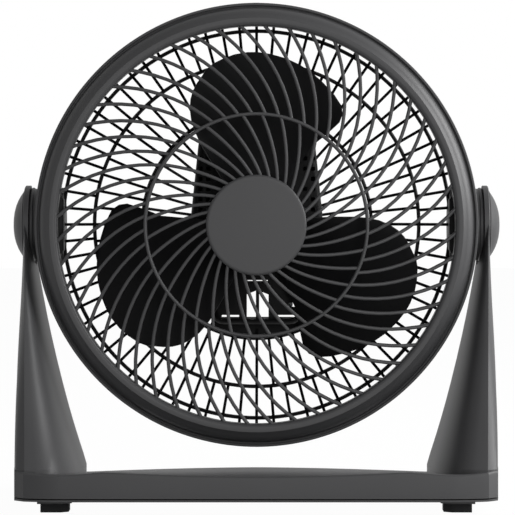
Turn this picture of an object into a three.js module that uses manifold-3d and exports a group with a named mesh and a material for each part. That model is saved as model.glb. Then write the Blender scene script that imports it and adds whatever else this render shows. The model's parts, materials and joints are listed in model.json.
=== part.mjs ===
// Air circulator fan: a round head with swept grilles that tilts between the arms of a U-shaped stand.
// Millimetres. +X is the viewer's right, the fan blows toward -Y, +Z is up and the floor is Z = 0.
// The head is drawn about its own centre, where the tilt axis crosses the fan axis, and then raised.
import * as THREE from 'three';
import { mergeVertices } from 'three/addons/utils/BufferGeometryUtils.js';
import Module from 'manifold-3d';

const wasm = await Module();
wasm.setup();

// ---- Driving dimensions -------------------------------------------------------------------------

const fitGap = 0.3; // between faces that touch
const skin = 2.2; // moulded wall

// Head: drum and front rim
const headRadius = 124;
const headFloorRoom = 33.9; // from the floor to the lowest point of the lip
const lipWidth = 1.7;
const rimGroove = 1.0; // open groove between the drum's lip and the front rim
const rimWidth = 10.2;
const rimFrontY = -38;
const rimDepth = 9;
const rimFillet = 2.0;
const rimFlat = 2.6;
const rimSlope = 4.8;
const lipSetback = 7; // from the front of the rim to the front of the lip
const lipDepth = 4;
const drumBackY = -6.5;
const drumInset = 3.4; // how far the drum's rear edge draws in from the lip
const topTabWidth = 3.9;
const topTabRise = 0.4;

// Front grille
const hubRadius = 28;
const hubFrontY = -44;
const hubDepth = 4;
const innerRibCount = 36;
const outerRibCount = 52;
const frontRibWidth = 1.7;
const frontRibDepth = 4.5;
const midRingRadius = 61.9;
const midRingWidth = 1.85;
const midRingDepth = 6;
const innerRibStart = THREE.MathUtils.degToRad(-4.66);
const innerRibSpiral = 0.48; // radians gained for each e-fold of radius
const outerRibStart = THREE.MathUtils.degToRad(2.2);
const outerRibSpiral = THREE.MathUtils.degToRad(0.466); // gained for each millimetre of radius

// Rear grille
const outerRearRibCount = 36;
const middleRearRibCount = 30;
const rearRibWidth = 1.4;
const rearRibDepth = 4;
const rearRingWidth = 1.7;
const rearRingDepth = 4.6;
const rearRingInsets = [13.8, 30.8, 57.3]; // from the lip, outer ring first
const rearRingYs = [-1.5, 13, 37];
const sideRibStep = THREE.MathUtils.degToRad(16);
const sideRibsEachWay = 3;

// Motor housing
const motorHalfWidth = 38;
const motorHipZ = 6; // above it the sides draw in a little
const motorTopHalfWidth = 34;
const motorTopZ = 57;
const motorTopRadius = 13;
const motorShoulderZ = -20; // below it the sides draw in
const motorFootZ = -58;
const motorFootHalfWidth = 27;
const motorFootRadius = 8;
const motorFrontY = 20;
const motorPlateY = 39;
const motorPlateDepth = 3;
const motorBackY = 60;
const motorLedge = 6.5; // width of the plate's frame round the motor
const coverEdge = 5; // how far the covers round over at their closed end
const coverScrews = [[23.5, 45], [18, -47.5]];
const coverScrewRadius = 1.5;
const coverScrewReach = 28;
const screwHeadRadius = 3.2;
const screwHeadDepth = 1.7;
const bossWall = 2.2;

// Openings of the motor housing
const windowMiddleX = 0.4; // middle of the post between the two tall windows
const windowWidth = 5.8;
const windowPost = 1.6;
const windowBottomZ = -55;
const windowShoulderZ = -42;
const windowTopZ = -40; // the tops slope up toward the post
const slotHeight = 2.4;
const slotNearX = 11.5;
const slotFarX = 22;
const slitZ = -33.5;
const slitHalfWidth = 6;
const slitHeight = 1.8;
const ventSize = 2.4;
const ventColumns = [28, 32.5];
const ventRowStep = 5.9;
const ventRowCount = 7;
const lowestVentZ = 2.6;
const louvreCount = 6;
const louvreWidth = 2.6;
const louvreStep = 5;
const louvreBottomZ = 24;
const louvreTopZ = 45;

// Motor
const motorRadius = 31;
const motorLength = 26.8; // over both brackets
const bracketDepth = 2;
const bracketWallDepth = 5;
const bearingRadius = 8;
const bearingDepth = 4.5;
const rotorCoreRadius = 15;
const coilDepth = 4.4;
const coilRadius = 26;
const shaftRadius = 3;
const shaftFrontY = -29;

// Fan
const bladeCount = 3;
const bladeTipRoom = 13.3; // between the rim's inner edge and the blades' tips
const bladeMiddleY = -5;
const bladePitch = 17; // the leading and trailing edges stand this far behind and before the middle
const bladeCamber = 4;
const bladeThickness = 2.6;
const bladeEdgeThickness = 1.2;
const bladeHalfSpan = THREE.MathUtils.degToRad(36);
const firstBladeAngle = THREE.MathUtils.degToRad(88.5);
const fanHubRadius = 27;
const fanHubFrontY = -25;
const fanHubBackY = 15;
const fanBossRadius = 7;
const nutRadius = 5.5;
const nutFrontY = -31.5;

// Speed knob, its switch and the cord inlet
const knobRadius = 17;
const knobDepth = 12;
const knobGripWidth = 6;
const switchWidth = 24;
const stemRadius = 3;
const inletX = -16;
const inletZ = -32;
const inletRadius = 5;
const inletFlange = 7.5;
const inletBore = 2.8;

// Tilt pivots
const bossRadius = 21;
const bossStandout = 4.3; // how far the head's bosses stand out of the lip
const bossDepth = 18.8;
const armDiscRadius = 22.2;
const armDiscDepth = 3.1;
const pivotRadius = 4;
const pivotDepth = 14; // how far the pivot screw reaches into the head's boss
const washerRadius = 8;
const washerDepth = 1;
const pivotHeadRadius = 6;
const pivotHeadDepth = 2.6;
const capRadius = 19.4;
const capRise = 6.7;
const capWall = 1.5;

// Stand
const standSideRoom = 13.4; // from the lip to the side of the stand
const standHalfDepth = 80;
const standSideRadius = 175; // seen from above the sides are shallow arcs
const legWidth = 39.2; // where a leg leaves the crossbar
const crossbarDepth = 60;
const standCornerRadius = 34;
const standInnerRadius = 5;
const legEndRadius = 8;
const standEdge = 2.5;
const crossbarTop = 21.4; // in the middle
const frontEdgeRise = 2.6; // the front edge rises toward the legs
const rearEdgeDrop = 2.2; // and the rear edge falls
const armFootZ = 24.7; // below it an arm goes straight down
const plateBottom = 7.6;
const plateDepth = 1.3;
const armHalfDepth = 56;
const armLegInset = [0.2, 1.7]; // the arm's foot stands inside the leg's outer and inner edges
const armCreaseInsetTop = 1.5; // the creases lie this far in from the outer face
const armCreaseInsetBottom = 9.6;
const armHollowDrop = 40; // the hollow inside an arm ends this far below the pivot
const frontFootInset = [26.5, 27.5]; // from the stand's side and front
const rearFootInset = [26.5, 18]; // from the stand's side and back
const footWidth = 15.5;
const collarWidth = 18.9;
const collarDepth = 1;
const frontScrewInset = [77.4, 30];
const rearScrewInset = [27.4, 37];
const standScrewRadius = 1.6;
const standScrewReach = 9;

// Sides of round pieces
const rimSides = outerRibCount;
const hubSides = innerRibCount;
const drumSides = 45;
const drumPhase = THREE.MathUtils.degToRad(1); // keeps the rear ribs off the corners of the rings
const largeSides = 24;
const mediumSides = 16;
const smallSides = 12;
const screwSides = 8;

// ---- Values that follow from them ---------------------------------------------------------------

const pivotHeight = headRadius + headFloorRoom;
const standHalfWidth = headRadius + standSideRoom;
const rimBackY = rimFrontY + rimDepth;
const rimOuterRadius = headRadius - lipWidth - rimGroove;
const rimInnerRadius = rimOuterRadius - rimWidth;
const lipFrontY = rimFrontY + lipSetback;
const drumRadius = headRadius - drumInset;
const bladeTipRadius = rimInnerRadius - bladeTipRoom;
const [outerRearRing, middleRearRing, innerRearRing] = rearRingInsets.map((inset, i) => (
  { radius: headRadius - inset, y: rearRingYs[i] }
));
const bossOuterX = headRadius + bossStandout;
const bossInnerX = bossOuterX - bossDepth;
const armInnerTop = bossOuterX + fitGap;
const armDiscOuterX = armInnerTop + armDiscDepth;
const armBulge = standHalfWidth - armLegInset[0] - armDiscOuterX;
const armInset = armInnerTop - (standHalfWidth - legWidth + armLegInset[1]);
const outsideX = armDiscOuterX + standHalfWidth; // well clear of the stand
const shellBottom = plateBottom + plateDepth + fitGap;
const motorCoverBackY = motorPlateY + motorPlateDepth + fitGap;
const bracketFrontY = motorFrontY + skin + fitGap;
const frontCoilY = bracketFrontY + bracketDepth + fitGap;
const statorFrontY = bracketFrontY + bracketDepth + bracketWallDepth + fitGap;
const switchBackY = motorBackY - skin - fitGap;
const knobFrontY = motorBackY + fitGap;
const rearBracketBackY = bracketFrontY + motorLength;
const statorBackY = rearBracketBackY - bracketDepth - bracketWallDepth - fitGap;
const switchFrontY = rearBracketBackY + fitGap;
const collarBottom = plateBottom - collarDepth;

// ---- Finishes -----------------------------------------------------------------------------------

const finishes = {
  charcoal: { color: 0x4a4a4b, roughness: 0.55, metalness: 0 },
  grille: { color: 0x464647, roughness: 0.5, metalness: 0 },
  blade: { color: 0x2c2c2e, roughness: 0.4, metalness: 0 },
  rubber: { color: 0x1f1f20, roughness: 0.9, metalness: 0 },
  steel: { color: 0xa9abad, roughness: 0.35, metalness: 1 },
  iron: { color: 0x55575a, roughness: 0.5, metalness: 0.9 },
  copper: { color: 0xb06a3c, roughness: 0.4, metalness: 1 },
};

// ---- Solids -------------------------------------------------------------------------------------

function signedVolume(positions, triangles) {
  const corners = [new THREE.Vector3(), new THREE.Vector3(), new THREE.Vector3()];
  let volume = 0;
  for (let t = 0; t < triangles.length; t += 3) {
    corners.forEach((corner, i) => corner.fromArray(positions, 3 * triangles[t + i]));
    volume += corners[0].dot(corners[1].cross(corners[2])) / 6;
  }
  return volume;
}

// A closed geometry with its vertices merged, empty triangles dropped and faces turned outward.
function closed(geometry) {
  const bare = new THREE.BufferGeometry();
  bare.setAttribute('position', geometry.attributes.position);
  bare.setIndex(geometry.index);
  const merged = mergeVertices(bare, 1e-4);
  const index = merged.index.array;
  const triangles = [];
  for (let t = 0; t < index.length; t += 3) {
    const [a, b, c] = [index[t], index[t + 1], index[t + 2]];
    if (a !== b && b !== c && c !== a) triangles.push(a, b, c);
  }
  if (signedVolume(merged.attributes.position.array, triangles) < 0) triangles.reverse();
  merged.setIndex(triangles);
  return merged;
}

function toManifold(geometry) {
  const vertProperties = Float32Array.from(geometry.attributes.position.array);
  const triVerts = Uint32Array.from(geometry.index.array);
  return new wasm.Manifold(new wasm.Mesh({ numProp: 3, vertProperties, triVerts }));
}

function fromManifold(solid) {
  const mesh = solid.getMesh();
  const geometry = new THREE.BufferGeometry();
  geometry.setAttribute('position', new THREE.BufferAttribute(mesh.vertProperties, 3));
  geometry.setIndex(new THREE.BufferAttribute(mesh.triVerts, 1));
  return geometry;
}

function join(geometries) {
  return fromManifold(geometries.map(toManifold).reduce((sum, solid) => sum.add(solid)));
}

function cut(geometry, tools) {
  const rest = tools.map(toManifold).reduce((left, tool) => left.subtract(tool), toManifold(geometry));
  return fromManifold(rest);
}

// Triangles that close one section of a loft, wound the same way as the section itself.
function capTriangles(section) {
  const normal = new THREE.Vector3();
  section.forEach((point, i) => {
    normal.add(new THREE.Vector3().crossVectors(point, section[(i + 1) % section.length]));
  });
  const size = [Math.abs(normal.x), Math.abs(normal.y), Math.abs(normal.z)];
  const dropped = size.indexOf(Math.max(...size));
  const [u, v] = [0, 1, 2].filter((axis) => axis !== dropped);
  const flat = section.map((p) => new THREE.Vector2(p.getComponent(u), p.getComponent(v)));
  const winding = Math.sign(THREE.ShapeUtils.area(flat));
  return THREE.ShapeUtils.triangulateShape(flat, []).map(([a, b, c]) => {
    const area = THREE.ShapeUtils.area([flat[a], flat[b], flat[c]]);
    return Math.sign(area) === winding ? [a, b, c] : [a, c, b];
  });
}

// A solid through closed sections that all have the same number of points.
function loft(sections) {
  const count = sections[0].length;
  const last = (sections.length - 1) * count;
  const faces = [];
  for (let s = 0; s < last; s += count) {
    for (let i = 0; i < count; i++) {
      const a = s + i;
      const b = s + ((i + 1) % count);
      faces.push(a, b, b + count, a, b + count, a + count);
    }
  }
  capTriangles(sections[0]).forEach(([a, b, c]) => faces.push(c, b, a));
  capTriangles(sections.at(-1)).forEach(([a, b, c]) => faces.push(last + a, last + b, last + c));
  const geometry = new THREE.BufferGeometry();
  const positions = sections.flat().flatMap((point) => point.toArray());
  geometry.setAttribute('position', new THREE.Float32BufferAttribute(positions, 3));
  geometry.setIndex(faces);
  return closed(geometry);
}

// A solid of revolution about the Y axis from [radius, y] pairs. A profile that doesn't start and end
// on the axis is closed on itself.
function revolve(profile, sides = mediumSides, phase = 0) {
  const points = profile.map(([radius, y]) => new THREE.Vector2(radius, y));
  const onAxis = profile[0][0] === 0 && profile.at(-1)[0] === 0;
  if (!onAxis) points.push(points[0].clone());
  return closed(new THREE.LatheGeometry(points, sides, phase));
}

function ringSolid(inner, outer, frontY, backY, sides, phase) {
  return revolve([[inner, frontY], [outer, frontY], [outer, backY], [inner, backY]], sides, phase);
}

function discSolid(radius, frontY, backY, sides) {
  return revolve([[0, frontY], [radius, frontY], [radius, backY], [0, backY]], sides);
}

function boxSolid(width, depth, height, x, y, z) {
  return closed(new THREE.BoxGeometry(width, depth, height).translate(x, y, z));
}

// Turns a solid drawn along +Y so that it lies along X on the given side, or stands along +Z.
function alongX(geometry, side) {
  return geometry.rotateZ((-side * Math.PI) / 2);
}

function alongZ(geometry) {
  return geometry.rotateX(Math.PI / 2);
}

// ---- Front grille -------------------------------------------------------------------------------

// The grille bulges a little toward the viewer: front faces of its ribs by radius.
function grilleFrontY(radius) {
  const edge = rimFrontY + rimSlope * 0.35;
  const bulge = edge - hubFrontY - 1.3;
  return edge - bulge * (1 - (radius / rimInnerRadius) ** 2);
}

function innerRibAngle(radius) {
  return innerRibStart + innerRibSpiral * Math.log(radius / hubRadius);
}

function outerRibAngle(radius) {
  return outerRibStart + outerRibSpiral * (radius - midRingRadius);
}

function frontRib(fromRadius, toRadius, steps, angleAt, turn) {
  const pointAt = (radius) => {
    const angle = angleAt(radius) + turn;
    return new THREE.Vector3(radius * Math.cos(angle), 0, radius * Math.sin(angle));
  };
  const sections = [];
  for (let i = 0; i <= steps; i++) {
    const radius = THREE.MathUtils.lerp(fromRadius, toRadius, i / steps);
    const run = pointAt(radius + 1).sub(pointAt(radius - 1)).normalize();
    const across = new THREE.Vector3(-run.z, 0, run.x).multiplyScalar(frontRibWidth / 2);
    const front = grilleFrontY(radius);
    const corners = [[-1, front], [1, front], [1, front + frontRibDepth], [-1, front + frontRibDepth]];
    sections.push(corners.map(([side, y]) => pointAt(radius).addScaledVector(across, side).setY(y)));
  }
  return loft(sections);
}

function frontRim() {
  const crestInner = rimInnerRadius + rimFillet;
  const crestOuter = crestInner + rimFlat;
  const slopeY = rimFrontY + rimSlope;
  const filletY = rimFrontY + 1.5 * rimFillet;
  return revolve([
    [rimInnerRadius, rimBackY],
    [rimInnerRadius, filletY],
    [crestInner, rimFrontY],
    [crestOuter, rimFrontY],
    [rimOuterRadius - 0.3, slopeY],
    [rimOuterRadius, rimBackY],
    [rimOuterRadius - skin, rimBackY],
    [rimOuterRadius - skin, slopeY + 0.3 * skin],
    [crestOuter - 0.3 * skin, rimFrontY + skin],
    [rimInnerRadius + skin, filletY + 0.4 * skin],
    [rimInnerRadius + skin, rimBackY],
  ], rimSides);
}

function frontHub() {
  return revolve([
    [0, hubFrontY],
    [hubRadius - 1.4, hubFrontY],
    [hubRadius, hubFrontY + 1.2],
    [hubRadius, hubFrontY + hubDepth + skin],
    [hubRadius - skin, hubFrontY + hubDepth + skin],
    [hubRadius - skin, hubFrontY + hubDepth - skin],
    [0, hubFrontY + hubDepth - skin],
  ], hubSides);
}

function frontGrille() {
  const pieces = [frontRim(), frontHub()];
  const midFront = grilleFrontY(midRingRadius) - 0.6;
  const midInner = midRingRadius - midRingWidth / 2;
  pieces.push(ringSolid(midInner, midInner + midRingWidth, midFront, midFront + midRingDepth, hubSides));
  for (let i = 0; i < innerRibCount; i++) {
    const turn = (i * 2 * Math.PI) / innerRibCount;
    pieces.push(frontRib(hubRadius - skin / 2, midRingRadius, 3, innerRibAngle, turn));
  }
  for (let i = 0; i < outerRibCount; i++) {
    const turn = (i * 2 * Math.PI) / outerRibCount;
    pieces.push(frontRib(midRingRadius, rimInnerRadius + skin / 2, 2, outerRibAngle, turn));
  }
  return join(pieces);
}

// ---- Rear housing: drum, lip, rear grille, pivot bosses and the plate that carries the motor -----

function drum() {
  const seatY = rimBackY + fitGap;
  const seatInner = rimInnerRadius + 2 * skin;
  const wallRadius = drumRadius - skin;
  return revolve([
    [headRadius, lipFrontY],
    [headRadius, lipFrontY + lipDepth],
    [drumRadius + 0.8, lipFrontY + lipDepth + skin],
    [drumRadius - 0.6, drumBackY],
    [wallRadius - 0.6, drumBackY],
    [wallRadius + 0.2, seatY + 3],
    [seatInner, seatY + skin],
    [seatInner, seatY],
    [headRadius - lipWidth, seatY],
    [headRadius - lipWidth, lipFrontY],
  ], drumSides, drumPhase);
}

// A straight-sided rib of the rear grille through [radius, y] pairs at one angle.
function rearRib(path, angle, depth) {
  const outward = new THREE.Vector3(Math.cos(angle), 0, Math.sin(angle));
  const across = new THREE.Vector3(-outward.z, 0, outward.x).multiplyScalar(rearRibWidth / 2);
  const first = new THREE.Vector2(...path[0]);
  const run = new THREE.Vector2(...path.at(-1)).sub(first).normalize();
  const deep = outward.clone().multiplyScalar(run.y).setY(-run.x).multiplyScalar(depth / 2);
  return loft(path.map(([radius, y]) => {
    const middle = outward.clone().multiplyScalar(radius).setY(y);
    return [[-1, -1], [1, -1], [1, 1], [-1, 1]].map(([side, face]) => (
      middle.clone().addScaledVector(across, side).addScaledVector(deep, face)
    ));
  }));
}

// The point a share of the way from one ring of the rear grille to another.
function between(from, to, share) {
  const radius = THREE.MathUtils.lerp(from.radius, to.radius, share);
  return { radius, y: THREE.MathUtils.lerp(from.y, to.y, share) };
}

// A band of windows through the given rings. Ribs lie at multiples of a step, between neighbouring
// windows, and each ring keeps its frame, the distance from its middle to the nearest window edge.
function windowBand(rings, count, depth) {
  const positions = [];
  const step = (2 * Math.PI) / count;
  const point = ([ring, angle], face) => [
    ring.radius * Math.cos(angle),
    ring.y + (face * depth) / 2,
    ring.radius * Math.sin(angle),
  ];
  const quad = (a, b, c, d) => positions.push(...a, ...b, ...c, ...a, ...c, ...d);
  const wallQuad = (from, to) => quad(point(from, -1), point(to, -1), point(to, 1), point(from, 1));
  const fillCell = (outer, inner, start, isFirst, isLast) => {
    const length = outer.radius - inner.radius;
    const top = between(outer, inner, outer.frame / length);
    const bottom = between(outer, inner, 1 - inner.frame / length);
    const [topGap, bottomGap] = [top, bottom].map((ring) => rearRibWidth / 2 / ring.radius);
    const end = start + step;
    const frame = [[outer, start], [outer, end], [inner, end], [inner, start]];
    const hole = [
      [top, start + topGap],
      [top, end - topGap],
      [bottom, end - bottomGap],
      [bottom, start + bottomGap],
    ];
    for (let i = 0; i < 4; i++) {
      const n = (i + 1) % 4;
      quad(point(frame[i], -1), point(frame[n], -1), point(hole[n], -1), point(hole[i], -1));
      quad(point(frame[n], 1), point(frame[i], 1), point(hole[i], 1), point(hole[n], 1));
      wallQuad(hole[i], hole[n]);
    }
    if (isFirst) wallQuad(frame[1], frame[0]);
    if (isLast) wallQuad(frame[3], frame[2]);
  };
  for (let row = 0; row < rings.length - 1; row++) {
    for (let i = 0; i < count; i++) {
      fillCell(rings[row], rings[row + 1], i * step, row === 0, row === rings.length - 2);
    }
  }
  const geometry = new THREE.BufferGeometry();
  geometry.setAttribute('position', new THREE.Float32BufferAttribute(positions, 3));
  return closed(geometry);
}

// Radius at which a ray from the fan axis leaves the motor housing's outline.
function motorEdgeRadius(angle) {
  const [rayX, rayZ] = [Math.abs(Math.cos(angle)), Math.sin(angle)];
  const meet = (cornerZ, slope) => (motorHalfWidth - slope * cornerZ) / (rayX - slope * rayZ);
  const straight = motorHalfWidth / rayX;
  const topCornerZ = motorTopZ - motorTopRadius;
  const narrowing = (motorTopHalfWidth - motorHalfWidth) / (topCornerZ - motorHipZ);
  const taper = (motorHalfWidth - motorFootHalfWidth) / (motorShoulderZ - motorFootZ);
  if (rayZ * straight > motorHipZ) return meet(motorHipZ, narrowing);
  if (rayZ * straight < motorShoulderZ) return meet(motorShoulderZ, taper);
  return straight;
}

function rearGrille() {
  const half = rearRingWidth / 2;
  const slope = (innerRearRing.y - middleRearRing.y) / (middleRearRing.radius - innerRearRing.radius);
  const drumEnd = { radius: drumRadius - skin / 2, y: drumBackY - rearRibDepth / 2 - 0.4, frame: skin / 4 };
  const bandTop = { radius: middleRearRing.radius + half, y: middleRearRing.y - slope * half };
  const bandBottom = { radius: innerRearRing.radius - half, y: innerRearRing.y + slope * half };
  const outerBand = [drumEnd, { ...outerRearRing, frame: half }, { ...middleRearRing, frame: half / 2 }];
  const innerBand = [bandTop, bandBottom].map((ring) => ({ ...ring, frame: rearRingWidth }));
  const ribTo = (edge, angle) => {
    const plateMiddleY = motorPlateY + motorPlateDepth / 2;
    const start = [innerRearRing.radius, innerRearRing.y];
    const path = [start, [edge + 1, plateMiddleY], [edge - motorLedge / 2, plateMiddleY]];
    return rearRib(path, angle, motorPlateDepth - 2 * fitGap);
  };
  const pieces = [
    windowBand(outerBand, outerRearRibCount, rearRibDepth),
    windowBand(innerBand, middleRearRibCount, rearRingDepth),
  ];
  for (let i = -sideRibsEachWay; i <= sideRibsEachWay; i++) {
    const tilt = i * sideRibStep;
    const edge = motorEdgeRadius(tilt);
    pieces.push(ribTo(edge, tilt), ribTo(edge, Math.PI - tilt));
  }
  pieces.push(ribTo(-motorFootZ, -Math.PI / 2));
  return join(pieces);
}

function pivotBoss(side) {
  return alongX(revolve([
    [0, bossInnerX],
    [bossRadius - 1, bossInnerX],
    [bossRadius, bossInnerX + 1],
    [bossRadius, bossOuterX],
    [0, bossOuterX],
  ], largeSides), side);
}

function pivotBore(side) {
  const end = bossOuterX - pivotDepth - 1.5;
  return alongX(discSolid(pivotRadius + fitGap, end, bossOuterX + 1, smallSides), side);
}

// The motor housing's outline, drawn in by an inset, at one Y.
function motorSection(inset, y) {
  const half = motorHalfWidth - inset;
  const corner = (x, z, radius, from, to, steps) => Array.from({ length: steps + 1 }, (_, i) => {
    const angle = THREE.MathUtils.degToRad(THREE.MathUtils.lerp(from, to, i / steps));
    return [x + (radius - inset) * Math.cos(angle), z + (radius - inset) * Math.sin(angle)];
  });
  const footX = motorFootHalfWidth - motorFootRadius;
  const right = [
    ...corner(footX, motorFootZ + motorFootRadius, motorFootRadius, -90, -16, 2),
    [half, motorShoulderZ],
    [half, motorHipZ],
    ...corner(motorTopHalfWidth - motorTopRadius, motorTopZ - motorTopRadius, motorTopRadius, 0, 90, 3),
  ];
  const left = right.map(([x, z]) => [-x, z]).reverse();
  return [...right, ...left].map(([x, z]) => new THREE.Vector3(x, y, z));
}

function motorSlab(inset, frontY, backY) {
  return loft([motorSection(inset, frontY), motorSection(inset, backY)]);
}

function eachCoverScrew(make) {
  return coverScrews.flatMap(([x, z]) => [make(x, z), make(-x, z)]);
}

function screwColumn(radius, frontY, backY) {
  return eachCoverScrew((x, z) => discSolid(radius, frontY, backY, screwSides).translate(x, 0, z));
}

// A straight cut along the fan axis through the housing, from a window's corners as [x, z] pairs.
function windowCut(corners, frontY, backY) {
  return loft([frontY, backY].map((y) => corners.map(([x, z]) => new THREE.Vector3(x, y, z))));
}

function slotCut(left, right, bottom, top, frontY, backY) {
  return windowCut([[left, bottom], [right, bottom], [right, top], [left, top]], frontY, backY);
}

// Two tall windows and two low slots in the foot of the housing let the air and the light through.
function footWindows(frontY, backY) {
  return [-1, 1].flatMap((side) => {
    const at = (distance) => windowMiddleX + side * distance;
    const near = windowPost / 2;
    const far = near + windowWidth;
    const window = [
      [at(near), windowBottomZ],
      [at(far), windowBottomZ],
      [at(far), windowShoulderZ],
      [at(near), windowTopZ],
    ];
    const [low, high] = [windowBottomZ, windowBottomZ + slotHeight];
    return [
      windowCut(window, frontY, backY),
      slotCut(side * slotNearX, side * slotFarX, low, high, frontY, backY),
    ];
  });
}

// A narrow slit between the motor and the windows.
function slit(frontY, backY) {
  const half = slitHeight / 2;
  return slotCut(-slitHalfWidth, slitHalfWidth, slitZ - half, slitZ + half, frontY, backY);
}

// Small square vents beside the motor.
function sideVents(frontY, backY) {
  const half = ventSize / 2;
  const rows = Array.from({ length: ventRowCount }, (_, i) => lowestVentZ + i * ventRowStep);
  return [-1, 1].flatMap((side) => ventColumns.flatMap((column) => rows.map((z) => (
    slotCut(side * column - half, side * column + half, z - half, z + half, frontY, backY)
  ))));
}

// Tall louvres in the back of the housing, above the knob.
function louvres(frontY, backY) {
  return Array.from({ length: louvreCount }, (_, i) => {
    const x = (i - (louvreCount - 1) / 2) * louvreStep;
    const half = louvreWidth / 2;
    return slotCut(x - half, x + half, louvreBottomZ, louvreTopZ, frontY, backY);
  });
}

function motorPlate() {
  const backY = motorPlateY + motorPlateDepth;
  const room = motorSlab(motorLedge, motorPlateY - 1, backY + 1);
  const frame = cut(motorSlab(0, motorPlateY, backY), [room]);
  const lugs = screwColumn(coverScrewRadius + fitGap + 1.5 * bossWall, motorPlateY, backY);
  return join([frame, ...lugs]);
}

function rearHousing() {
  const tabDepth = lipDepth - 0.8;
  const tabRise = lipWidth / 2 + topTabRise;
  const tabZ = headRadius + topTabRise - tabRise / 2;
  const tab = boxSolid(topTabWidth, tabDepth, tabRise, 0, lipFrontY + lipDepth / 2, tabZ);
  const whole = join([drum(), rearGrille(), pivotBoss(1), pivotBoss(-1), motorPlate(), tab]);
  const plateCut = [motorPlateY - 2, motorPlateY + motorPlateDepth + 2];
  const screwHoles = screwColumn(coverScrewRadius + fitGap, ...plateCut);
  return cut(whole, [...screwHoles, ...footWindows(...plateCut), pivotBore(1), pivotBore(-1)]);
}

// ---- Motor housing covers -----------------------------------------------------------------------

// One cover, open toward openY and rounded over toward closedY.
function motorShell(inset, openY, closedY) {
  const toward = Math.sign(closedY - openY);
  return loft([
    motorSection(inset, openY),
    motorSection(inset, closedY - toward * coverEdge),
    motorSection(inset + 0.3 * coverEdge, closedY - toward * 0.3 * coverEdge),
    motorSection(inset + coverEdge, closedY),
  ]);
}

function coverSolid(openY, closedY, boreRadius) {
  const toward = Math.sign(closedY - openY);
  const hollow = motorShell(skin, openY - toward, closedY - toward * skin);
  const bosses = screwColumn(coverScrewRadius + fitGap + bossWall, openY, closedY - toward * skin * 0.6);
  const bore = discSolid(boreRadius, closedY - 2 * skin, closedY + 2 * skin, smallSides);
  return cut(join([cut(motorShell(0, openY, closedY), [hollow]), ...bosses]), [bore]);
}

function motorFrontCover() {
  const openY = motorPlateY - fitGap;
  const holeEnd = motorBackY + fitGap - coverScrewReach - 1;
  const holes = screwColumn(coverScrewRadius + fitGap, holeEnd, openY + 1);
  const faceCut = [motorFrontY - 1, motorFrontY + coverEdge + skin];
  const openings = [...footWindows(...faceCut), slit(...faceCut), ...sideVents(...faceCut)];
  return cut(coverSolid(openY, motorFrontY, shaftRadius + 2), [...holes, ...openings]);
}

function motorRearCover() {
  const holes = screwColumn(coverScrewRadius + fitGap, motorCoverBackY - 1, motorBackY + 1);
  const inletHole = discSolid(inletRadius + fitGap, motorBackY - 2 * skin, motorBackY + 1, smallSides);
  holes.push(inletHole.translate(inletX, 0, inletZ));
  const faceCut = [motorBackY - coverEdge - skin, motorBackY + 1];
  const openings = [...footWindows(...faceCut), slit(...faceCut), ...louvres(...faceCut)];
  return cut(coverSolid(motorCoverBackY, motorBackY, stemRadius + 2), [...holes, ...openings]);
}

function coverScrew() {
  const seat = motorBackY + fitGap;
  return revolve([
    [0, seat - coverScrewReach],
    [coverScrewRadius, seat - coverScrewReach + 1],
    [coverScrewRadius, seat],
    [screwHeadRadius, seat],
    [0.8 * screwHeadRadius, seat + screwHeadDepth],
    [0, seat + screwHeadDepth],
  ], screwSides);
}

function cordInlet() {
  const seat = motorBackY + fitGap;
  return revolve([
    [inletBore, motorBackY - skin - 1],
    [inletRadius, motorBackY - skin - 1],
    [inletRadius, seat],
    [inletFlange, seat],
    [inletFlange - 1, seat + 2],
    [inletBore, seat + 2],
  ], smallSides);
}

// ---- Motor --------------------------------------------------------------------------------------

// A cup-shaped end bracket with a seat for its bearing. The closed side is at closedY.
function motorBracket(closedY, toward) {
  const at = (distance) => closedY + toward * distance;
  const seat = bearingRadius + fitGap;
  return revolve([
    [seat, at(0)],
    [motorRadius, at(0)],
    [motorRadius, at(bracketDepth + bracketWallDepth)],
    [motorRadius - skin, at(bracketDepth + bracketWallDepth)],
    [motorRadius - skin, at(bracketDepth)],
    [seat + skin, at(bracketDepth)],
    [seat + skin, at(bracketWallDepth)],
    [seat, at(bracketWallDepth)],
  ], mediumSides);
}

function bearing(frontY) {
  return ringSolid(shaftRadius + fitGap, bearingRadius, frontY, frontY + bearingDepth, smallSides);
}

function coil(frontY) {
  return ringSolid(rotorCoreRadius + 1.5, coilRadius, frontY, frontY + coilDepth, mediumSides);
}

// ---- Fan ----------------------------------------------------------------------------------------

// Share of the tip radius, then where the leading and trailing edges lie as shares of the half span.
const bladeOutline = [
  [0.56, -0.92, 0.99],
  [0.64, -0.985, 0.97],
  [0.77, -1.03, 0.87],
  [0.855, -0.94, 0.76],
  [0.905, -0.66, 0.65],
  [0.95, -0.43, 0.5],
  [0.985, -0.18, 0.3],
];

function bladeSection(radius, leading, trailing) {
  const chordSteps = 6;
  const surface = (side) => (i) => {
    const share = i / chordSteps;
    const along = THREE.MathUtils.lerp(leading, trailing, share);
    const angle = firstBladeAngle + along * bladeHalfSpan;
    const bulk = 4 * share * (1 - share);
    const half = THREE.MathUtils.lerp(bladeEdgeThickness, bladeThickness, bulk) / 2;
    const y = bladeMiddleY - bladePitch * along - bladeCamber * (1 - along * along) + side * half;
    return new THREE.Vector3(radius * Math.cos(angle), y, radius * Math.sin(angle));
  };
  const steps = Array.from({ length: chordSteps + 1 }, (_, i) => i);
  return [...steps.map(surface(-1)), ...steps.reverse().map(surface(1))];
}

function fanBladeSolid() {
  const root = [fanHubRadius - 0.5 * skin, -0.9, 1.02];
  const rows = [root, ...bladeOutline.map(([share, a, b]) => [share * bladeTipRadius, a, b])];
  return loft(rows.concat([[bladeTipRadius, -0.02, 0.12]]).map((row) => bladeSection(...row)));
}

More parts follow.
